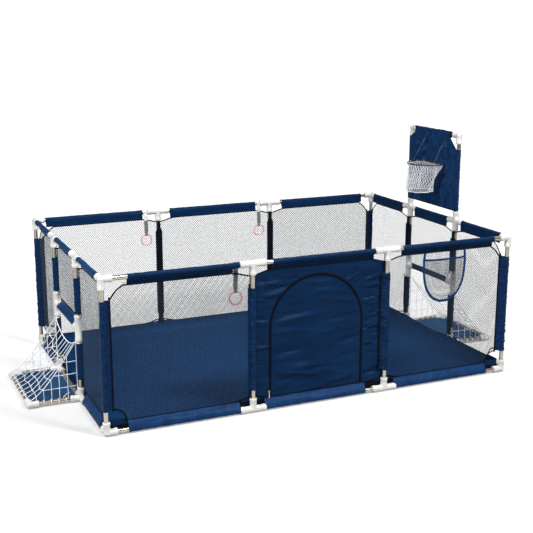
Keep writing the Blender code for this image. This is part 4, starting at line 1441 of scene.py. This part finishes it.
POCKET_X = (POCKET_LOW.x + POCKET_HIGH.x) / 2
POCKET_HALF = (POCKET_HIGH.x - POCKET_LOW.x) / 2
POCKET_TOP = POCKET_HIGH.z
POCKET_DROP = POCKET_HIGH.z - POCKET_LOW.z


def pocket_half(v):
    """Half the pocket's width at height v."""
    down = min(max((POCKET_TOP - v) / POCKET_DROP, 0), 1)
    return POCKET_HALF * math.sqrt(max(1 - 0.97 * down**3, 0.0))


def pocket_surface(u, v, lift=0.0):
    """A point on the pocket's bulging front."""
    down = min(max((POCKET_TOP - v) / POCKET_DROP, 0), 1)
    side = min(abs(u - POCKET_X) / max(pocket_half(v), 0.01), 1)
    bulge = (POCKET_HIGH.y - POCKET_LOW.y - 0.002) * (1 - side**4) * (1 - down**3)
    return Vector((u, POCKET_HIGH.y - 0.0006 - bulge - lift, v))


def add_pocket():
    """The netting pouch on the front wall, with its bound edge."""
    levels = [POCKET_TOP - POCKET_DROP * i / 14 for i in range(15)]
    left = [(POCKET_X - pocket_half(v), v) for v in levels]
    right = [(POCKET_X + pocket_half(v), v) for v in levels]
    outline = left + right[::-1]
    stock = strands(outline, 0.0040, NET_LEAN, 0.0010, 0.0008, pocket_surface, 0.012)
    net = stock.piece("netting_pocket", NETTING, "frame", ["pocket"], 80)
    area_of(outline)
    trim = Stock()
    tail = POCKET_TOP + 0.030
    edge = [(left[0][0] + 0.004, tail)] + outline + [(right[0][0] - 0.004, tail)]
    trim.tape([Vector((u, POCKET_HIGH.y - 0.0008 - 0.001, v)) for u, v in edge], -Y, 0.0115, 0.0024)
    mouth = [POCKET_X + POCKET_HALF * (2 * i / 16 - 1) for i in range(17)]
    trim.tape([pocket_surface(u, POCKET_TOP, 0.0006) for u in mouth], -Y, 0.0090, 0.0018)
    trim.piece("binding_pocket", NAVY_TRIM, angle=60)


# ---------------------------------------------------------------- goals
NET_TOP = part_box("goal_net_right")[1].z
NET_MOUTH_X = HALF_X + 0.012
# The goal nets: sag of the mouth, height of the foot, curve of the back, and the cords
NET_SAG = 0.048
NET_HEM = 0.026
NET_CURVE = 1.35
NET_COLUMNS = 9
NET_ROWS = 6
CORD_R = 0.0014


def goal_point(sign, side, far):
    """A point on a goal net's back: side runs from -1 to 1 and far from the mouth to the outer tube."""
    half = POST_Y - 0.010 + 0.004 * far
    top = NET_TOP - NET_SAG * (1 - side**2)
    x = NET_MOUTH_X + (BASE_X - NET_MOUTH_X) * far
    z = NET_HEM + (top - NET_HEM) * (1 - far) ** NET_CURVE
    return Vector((sign * x, half * side, z))


def goal_grid(sign):
    """The crossings of a goal net's back, row by row, a little uneven."""
    dice = np.random.RandomState(41 if sign > 0 else 43)
    grid = []
    for j in range(NET_ROWS + 1):
        far = (j / NET_ROWS) ** 0.9
        line = []
        for i in range(NET_COLUMNS + 1):
            skew = 0.45 * (j / NET_ROWS) * math.sin(math.pi * i / NET_COLUMNS)
            side = 2 * (i + skew) / NET_COLUMNS - 1
            loose = 0 < j < NET_ROWS and 0 < i < NET_COLUMNS
            jitter = 0.050 * dice.uniform(-1, 1) if loose else 0.0
            fall = 0.045 * dice.uniform(-1, 1) if loose else 0.0
            line.append(goal_point(sign, min(max(side + jitter, -1), 1), min(max(far + fall, 0), 1)))
        grid.append(line)
    return grid


def knot(stock, point, radius):
    """A small knot where two cords cross."""
    ring = [point + Vector(p) * radius for p in ((1, 0, 0), (0, 1, 0), (-1, 0, 0), (0, -1, 0))]
    verts = ring + [point + Z * radius, point - Z * radius]
    faces = [(i, (i + 1) % 4, 4) for i in range(4)] + [((i + 1) % 4, i, 5) for i in range(4)]
    stock.add(verts, faces)


def add_net_sides(cords, grid, sign):
    """The upright and level cords of a goal net's two sides, and their edge ropes."""
    for column, side in ((0, -1), (NET_COLUMNS, 1)):
        edge = [row[column] for row in grid]
        for top in edge[:-1]:
            cords.line([top, Vector((top.x, top.y + side * 0.001, 0.020))], CORD_R)
        for level in (0.070, 0.125, 0.180):
            line = [Vector((sign * NET_MOUTH_X, edge[0].y, level))]
            for a, b in zip(edge, edge[1:]):
                if b.z < level <= a.z:
                    line.append(a.lerp(b, (a.z - level) / (a.z - b.z)))
                    break
                if b.z >= level:
                    line.append(Vector((b.x, b.y, level - 0.002)))
            if len(line) > 1:
                cords.line(line, CORD_R)
        cords.line([p + Vector((0, 0, 0.0005)) for p in edge], 0.0017, 8)


def add_net_mouth(cords, sign):
    """The ropes round a goal net's mouth, tied to both posts."""
    rope = [goal_point(sign, -1 + 2 * i / 24, 0) for i in range(25)]
    x = sign * (HALF_X + 0.004)
    ends = [Vector((x, side * (POST_Y - 0.012), NET_TOP)) for side in (-1, 1)]
    cords.line([ends[0]] + rope[1:-1] + [ends[1]], 0.0019, 8)
    for side in (-1, 1):
        spot = (sign * NET_MOUTH_X, side * (POST_Y - 0.010))
        cords.line([Vector((*spot, z)) for z in (NET_TOP, 0.2, 0.12, 0.05, 0.022)], 0.0016, 8)
        tie = Vector((sign * HALF_X, side * POST_Y, NET_TOP - 0.004))
        cords.line(circle(tie, Z, TUBE_R + 0.0022, 20), 0.0016, 6, True)


def add_net(end, sign):
    """One goal's cord net with its knots, ropes and lashings."""
    grid = goal_grid(sign)
    cords = Stock()
    for j, row in enumerate(grid[1:], 1):
        sag = 0.0035 if j < NET_ROWS else 0.001
        path = []
        for a, b in zip(row, row[1:]):
            path += [a, (a + b) / 2 - Vector((0, 0, sag))]
        cords.line(path + [row[-1]], CORD_R)
    for column in zip(*grid):
        cords.line(column, CORD_R)
    for row in grid[1:-1]:
        for point in row[1:-1]:
            knot(cords, point, 0.0026)
    add_net_sides(cords, grid, sign)
    lashings = [(Vector((sign * BASE_X, point.y, LOW_Z)), Y) for point in grid[-1]]
    for side in (-1, 1):
        for k in range(4):
            lashings.append((Vector((sign * (HALF_X + 0.065 + 0.032 * k), side * POST_Y, LOW_Z)), X))
    for spot, way in lashings:
        cords.line(circle(spot, way, TUBE_R + 0.0012, 18), CORD_R, 6, True)
    add_net_mouth(cords, sign)
    return cords.piece(f"net_goal_{end}", CORD, "frame", [f"goal_net_{end}"], 70)


def add_goal(end, sign):
    """One goal's cord net, its webbing tab and its ground cloth."""
    net = add_net(end, sign)
    tab = Stock()
    foot = Vector((sign * (HALF_X + 0.075), -POST_Y + 0.012, 0.024))
    tip = foot + Vector((-sign * 0.030, 0.006, 0.016))
    face = (foot - Vector((sign * 0.9, 0, 0.4))).cross(Y).normalized()
    tab.tape([foot, foot.lerp(tip, 0.5) + Z * 0.003, tip], face, 0.014, 0.0012)
    tab.piece(f"tab_goal_{end}", PALE_WEBBING, angle=60)
    near, far = HALF_X + 0.013, BASE_X - 0.004
    half = POST_Y - 0.004
    folds = creased(51 + sign, (near, -half, far, half), 16, 90, 25, 0.12, 0.0022, 0.009)

    def ground(u, v, lift):
        ease = max(min((u - near) / 0.04, (far - u) / 0.04, (half - abs(v)) / 0.04, 1), 0)
        z = 0.0150 - 0.0105 * ease + ease * folds(u, v)
        return Vector((sign * u, v, max(z, 0.0010) + lift))

    outline = [(near, -half), (far, -half), (far, half), (near, half)]
    cloth = cloth_piece(f"ground_cloth_{end}", [outline], 0.011, ground, 0.0010, NAVY_GROUND)


# ---------------------------------------------------------------- board and hoop
def add_board():
    """The board's cover: a creased front, sleeves on three tubes and its hem."""
    half = COVER_HIGH.y
    foot, top = COVER_LOW.z, COVER_HIGH.z
    lip_u, lip_v = 0.018, 0.030

    def cut(cut_u, cut_v):
        inner, low = half - cut_u, top - cut_v
        return [
            (half, low),
            (half - lip_u, low + 0.001),
            (half - lip_u - 0.012, low + 0.012),
            (inner + 0.004, top - lip_v - 0.008),
            (inner, top - lip_v),
            (inner, top),
        ]

    back_cut = cut(0.054, 0.058)
    front_cut = [(-u, v) for u, v in cut(0.070, 0.084)]
    outline = [(-half, foot), (half, foot)] + back_cut + front_cut[::-1]
    x = (COVER_LOW.x + COVER_HIGH.x) / 2
    folds = creased(61, (-0.18, 0.70, 0.18, 1.03), 34, 62, 30, 0.16, 0.0125, 0.0072)
    slant = creased(63, (-0.18, 0.70, 0.18, 1.0), 30, 130, 28, 0.16, 0.0125, 0.0072)

    def face(u, v, lift):
        rim = min((half - 0.012 - abs(u)) / 0.05, (v - foot) / 0.05, (top - 0.02 - v) / 0.05, 1)
        # The cover stays flat near the hoop's clips
        off_u, off_v = max(abs(u - HOOP_Y) - 0.10, 0), max(abs(v - HOOP_Z + 0.015) - 0.03, 0)
        clear = min(math.hypot(off_u, off_v) / 0.03, 1)
        out = max(rim, 0.0) * (0.0012 + folds(u, v) + slant(u, v))
        return Vector((x - lift - min(out, 0.0010 + 0.012 * clear), u, v))

    # The cover's lighter navy is painted light, and its bold mottling paints highlights on the creases
    made = cloth_piece("cover_board", [outline], 0.0055, face, 0.0012, NAVY_PAINTED_LIT, "frame", ["board_cover"])
    area_of(outline)
    profile = band_profile(0.030)
    for name, y, head, seed in (
        ("front", -POST_Y, front_cut[0][1], 70),
        ("back", POST_Y, back_cut[0][1], 72),
    ):
        inner = Y if y < 0 else -Y
        span = (foot + 0.001, head)
        post_sleeve(f"board_{name}", (HALF_X, y), span, -X, inner, profile, 0.0018, seed, skin=NAVY_PAINTED_LIT)
    start, end = (HALF_X, front_cut[-1][0], BOARD_Z), (HALF_X, 0.163, BOARD_Z)
    sleeve("sleeve_board_top", start, end, -X, -Z, profile, 0.0052, 75, 0.0009, NAVY_PAINTED_LIT)
    hem = Stock()
    low_edge = [Vector((x, u, foot + 0.002)) for u in (-half, -half / 2, 0, half / 2, half)]
    hem.tape(low_edge, -X, 0.006, 0.0024)
    for edge in (back_cut, front_cut):
        hem.tape([Vector((x, u, v)) for u, v in edge], -X, 0.0045, 0.0022)
    hem.piece("binding_board", BLACK, angle=60)


HOOP_R = (HOOP_HIGH.y - HOOP_LOW.y) / 2 - 0.002
HOOP_Y = (HOOP_HIGH.y + HOOP_LOW.y) / 2
HOOP_Z = (HOOP_HIGH.z + HOOP_LOW.z) / 2
HOOP_BACK = HOOP_HIGH.x - 0.002
HOOP_CENTRE = HOOP_LOW.x + 0.002 + HOOP_R


def hoop_ring(inset, steps=36):
    """The hoop's outline seen from above, as (x, y) points."""
    radius = HOOP_R - inset
    points = []
    for i in range(steps + 1):
        angle = math.pi / 2 + math.pi * i / steps
        points.append((HOOP_CENTRE + radius * math.cos(angle), HOOP_Y + radius * math.sin(angle)))
    back = HOOP_BACK - inset
    turn = 0.008
    points += [(back - turn, HOOP_Y - radius), (back - turn * 0.3, HOOP_Y - radius + turn * 0.3)]
    for i in range(9):
        share = 2 * i / 8 - 1
        points.append((back, HOOP_Y + share * (radius - turn)))
    points += [(back - turn * 0.3, HOOP_Y + radius - turn * 0.3), (back - turn, HOOP_Y + radius)]
    return points


HOOP_DROP = 0.129
RIM = hoop_ring(0.0012)
RIM_LENGTHS = [0.0]
for (rim_x, rim_y), (next_rim_x, next_rim_y) in zip(RIM, RIM[1:] + RIM[:1]):
    RIM_LENGTHS.append(RIM_LENGTHS[-1] + math.hypot(next_rim_x - rim_x, next_rim_y - rim_y))


def hoop_rim(share):
    """The point a share of the way round the hoop where its net hangs, as (x, y)."""
    target = (share % 1.0) * RIM_LENGTHS[-1]
    for i, (x0, y0) in enumerate(RIM):
        if RIM_LENGTHS[i + 1] >= target:
            part = (target - RIM_LENGTHS[i]) / (RIM_LENGTHS[i + 1] - RIM_LENGTHS[i])
            x1, y1 = RIM[(i + 1) % len(RIM)]
            return x0 + (x1 - x0) * part, y0 + (y1 - y0) * part
    return RIM[0]


def hoop_net_point(share, down):
    """A point of the hoop's net: a share of the way round and down from 0 to 1."""
    x, y = hoop_rim(share)
    way = Vector((x - HOOP_CENTRE, y - HOOP_Y)).normalized()
    foot = Vector((HOOP_CENTRE - 0.037, HOOP_Y)) + way * 0.064
    spot = Vector((x, y)).lerp(foot, math.sin(down * math.pi / 2))
    ruffle = 0.004 * math.sin(share * math.tau * 7 + down * 3) * down
    spot += way * (ruffle + 0.004 * down * noise.noise(Vector((x * 60, y * 60, down * 6))))
    return Vector((spot.x, spot.y, HOOP_Z - 0.0055 - down * HOOP_DROP))


def add_hoop_net():
    """The hoop's net: crossing cords, a rim cord, a hem cord and lashings round the wire."""
    net = Stock()
    around, steps = 36, 20
    for direction in (-1, 1):
        for i in range(around):
            path = [hoop_net_point((i + direction * 0.25 * j) / around, j / steps) for j in range(steps + 1)]
            net.add(*loft(along_path(path, 0.00085, 5), caps=False))
    for down, radius in ((0.0, 0.0009), (1.0, 0.0014)):
        net.line([hoop_net_point(i / 48, down) for i in range(48)], radius, 6, True)
    for i in range(12):
        x, y = hoop_rim(i / 12)
        next_x, next_y = hoop_rim(i / 12 + 0.002)
        way = Vector((next_x - x, next_y - y, 0)).normalized()
        net.line(circle(Vector((x, y, HOOP_Z - 0.0014)), way, 0.0044, 12), 0.0006, 5, True)
    made = net.piece("net_hoop", CORD, "hoop", ["hoop_net"], 70)


def add_hoop():
    """The wire hoop, its clips and the two stays that hold it level."""
    wire = Stock()
    wire.line([(x, y, HOOP_Z) for x, y in hoop_ring(0.0)], 0.0030, 12, True)
    clip = [(-0.0085, 0.003), (-0.007, 0.0038), (0.007, 0.0038), (0.0085, 0.003)]
    for y in (HOOP_Y - 0.030, HOOP_Y + 0.030):
        wire.add(*loft([circle(Vector((HOOP_BACK, y + s, HOOP_Z)), Y, r, 14) for s, r in clip]))
    wire.piece("wire_hoop", WIRE, "hoop", ["hoop"])
    add_hoop_net()
    for name, side, top_y, top_z in (("front", -1, -0.105, 1.020), ("back", 1, 0.045, 1.034)):
        foot = Vector((HOOP_CENTRE - 0.024, HOOP_Y + side * (HOOP_R - 0.004), HOOP_Z + 0.002))
        top = Vector((COVER_LOW.x - 0.0012, top_y, top_z))
        points = [top.lerp(foot, i / 12) for i in range(13)]
        stay = piece(f"stay_hoop_{name}", *line_of(points, 0.0007, 8), WEBBING)
        [tuple(p) for p in points]
        stay.parent = None
        stay.matrix_world = Matrix.Identity(4)
        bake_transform(stay)


def arc_of_ways(start, turn, steps, sign):
    """Unit vectors in the plane of Y and Z, turning evenly from a start, both in degrees."""
    angles = [math.radians(start + turn * i / steps) for i in range(steps + 1)]
    return [Vector((0, sign * math.cos(angle), math.sin(angle))) for angle in angles]


# ---------------------------------------------------------------- straps and rings
def add_rings():
    """The three webbing straps and their pink rings."""
    for name, sign in (("front", -1), ("back_left", 1), ("back_right", 1)):
        low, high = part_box(f"ring_strap_{name}")
        ring_low, ring_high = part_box(f"pull_ring_{name}")
        x, width = (low.x + high.x) / 2, high.x - low.x
        out = Vector((0, sign, 0))
        rail = Vector((x, sign * HALF_Y, HIGH_Z))
        centre = (ring_low + ring_high) / 2
        top = Vector((x, centre.y, ring_high.z - 0.0024))
        loop = [rail + way * (TUBE_R + 0.0013) for way in arc_of_ways(-35, 300, 20, -sign)]
        pinch = Vector((x, rail.y - sign * (TUBE_R + 0.0028), rail.z - 0.014))
        tail_foot = top + Vector((0, 0, 0.0085))
        split = pinch.lerp(tail_foot, 0.34)
        slack = Vector((0, -sign * 0.0012, 0))
        upper = Stock()
        upper.tape(loop + [pinch], [(p - rail).normalized() for p in loop] + [out], width, 0.0011)
        upper.tape([loop[0], pinch + slack, split], -out, width, 0.0020)
        lower = Stock()
        half_way = split.lerp(tail_foot, 0.5) + slack
        lower.tape([split + Z * 0.003, half_way, tail_foot], -out, width * 0.985, 0.0022)
        eye_centre = top + Vector((0, 0, -0.0008))
        eye = [eye_centre + way * 0.0052 for way in arc_of_ways(60, -300, 14, sign)]
        shift = Vector((0, sign * 0.0006, 0))
        normals = [out] + [(p - top).normalized() for p in eye] + [-out]
        lower.tape([tail_foot + shift] + eye + [tail_foot - shift], normals, width * 0.66, 0.0010)
        body = f"strap_{name}"
        stands_for = [f"ring_strap_{name}"]
        skin = WEBBING if name == "front" else PALE_WEBBING
        upper.piece(f"webbing_upper_{name}", skin, body, stands_for, 60)
        lower.piece(f"webbing_lower_{name}", WEBBING, body, stands_for, 60)
        radius = (ring_high.x - ring_low.x) / 2 - 0.0024
        points = []
        for i in range(56):
            angle = math.tau * i / 56
            x, z = centre.x + radius * math.cos(angle), centre.z + radius * math.sin(angle)
            points.append(Vector((x, centre.y, z)))
        ring = line_of(points, 0.0033, 14, True)
        piece(f"ring_{name}", *ring, PINK, f"ring_{name}", [f"pull_ring_{name}"])


# ---------------------------------------------------------------- light and floor
# (name, place, size, power)
LAMPS = (
    ("key", (-2.9, -1.1, 3.0), 1.2, 130),
    ("fill", (1.3, -3.1, 4.4), 0.9, 250),
    ("rim", (2.8, 2.6, 3.6), 1.6, 26),
)
LAMP_AIM = Vector((0, 0, 0.3))
# The radiance that the floor's glow fills up to, and the floor's reflectance
FLOOR_WHITE = 1.12
FLOOR_ALBEDO = 0.50
# What the camera sees behind the floor, the sky's strength overhead and below, and its light on the floor
BACKDROP = 1.02
SKY_HIGH = 0.24
SKY_LOW = 0.06
SKY_LIGHT = 0.14


def floor_light(spot):
    """The radiance that the sky and the lamps give the bare floor at a point."""
    total = SKY_LIGHT * FLOOR_ALBEDO
    for _, place, _, power in LAMPS:
        away = spot - Vector(place)
        way = away.normalized()
        facing = max((LAMP_AIM - Vector(place)).normalized().dot(way), 0)
        total += FLOOR_ALBEDO * power * facing * -way.z / (math.pi * away.length) ** 2
    return total


def add_surround():
    """A white surround for the camera and a dim, even sky for the lighting."""
    world = bpy.data.worlds.new("studio")
    bpy.context.scene.world = world
    world.use_nodes = True
    tree = world.node_tree
    backdrop = tree.nodes["Background"]
    backdrop.inputs["Color"].default_value = (1, 1, 1, 1)
    backdrop.inputs["Strength"].default_value = BACKDROP
    coord = node(tree, "ShaderNodeTexCoord").outputs["Generated"]
    height = node(tree, "ShaderNodeSeparateXYZ", [("Vector", coord)])
    rise = spread(tree, height.outputs["Z"], SKY_LOW, SKY_HIGH)
    ambient = node(tree, "ShaderNodeBackground", [("Strength", rise)], Color=(0.97, 0.98, 1, 1))
    seen = node(tree, "ShaderNodeLightPath").outputs["Is Camera Ray"]
    mixed = node(tree, "ShaderNodeMixShader", [(0, seen), (1, ambient.outputs[0]), (2, backdrop.outputs[0])])
    tree.links.new(mixed.outputs[0], tree.nodes["World Output"].inputs["Surface"])


def add_floor():
    """A pale floor that glows just enough to look evenly white where no shadow falls."""
    mesh = bpy.data.meshes.new("floor")
    size, cells = 14, 80
    row = cells + 1
    places = [-size + 2 * size * i / cells for i in range(row)]
    verts = [(x, y, 0.0) for y in places for x in places]
    corners = [j * row + i for j in range(cells) for i in range(cells)]
    mesh.from_pydata(verts, [], [(k, k + 1, k + row + 1, k + row) for k in corners])
    glow = mesh.attributes.new("glow", "FLOAT", "POINT")
    glow.data.foreach_set("value", [max(FLOOR_WHITE - floor_light(Vector(p)), 0.0) for p in verts])
    floor = bpy.data.objects.new("floor", mesh)
    floor.location.z = -0.0006
    bpy.context.collection.objects.link(floor)
    made, tree, shader = graph("floor_paper", (FLOOR_ALBEDO, FLOOR_ALBEDO, FLOOR_ALBEDO), 0.9)
    shader.inputs["Specular IOR Level"].default_value = 0.1
    shader.inputs["Emission Color"].default_value = (1, 1, 1, 1)
    level = node(tree, "ShaderNodeAttribute", attribute_name="glow").outputs["Fac"]
    seen = node(tree, "ShaderNodeLightPath").outputs["Is Camera Ray"]
    lit = node(tree, "ShaderNodeMath", [(0, level), (1, seen)], operation="MULTIPLY").outputs[0]
    tree.links.new(lit, shader.inputs["Emission Strength"])
    mesh.materials.append(made)


def add_studio():
    """A pale floor, a white surround and soft lights."""
    add_surround()
    add_floor()
    for name, spot, size, power in LAMPS:
        data = bpy.data.lights.new(name, "AREA")
        data.energy = power
        data.size = size
        lamp = bpy.data.objects.new(name, data)
        lamp.location = spot
        lamp.rotation_euler = (LAMP_AIM - Vector(spot)).to_track_quat("-Z", "Y").to_euler()
        bpy.context.collection.objects.link(lamp)
    bpy.context.scene.view_settings.view_transform = "Standard"


add_camera()
add_studio()
add_tubes()
add_connectors()
add_rail_sleeves()
add_post_sleeves()
add_netting_walls()
add_bindings()
add_inner_tapes()
add_front_door()
add_slider()
add_mat()
add_mat_edge()
add_mat_lining()
add_pocket()
add_goal("left", -1)
add_goal("right", 1)
add_board()
add_hoop()
add_rings()
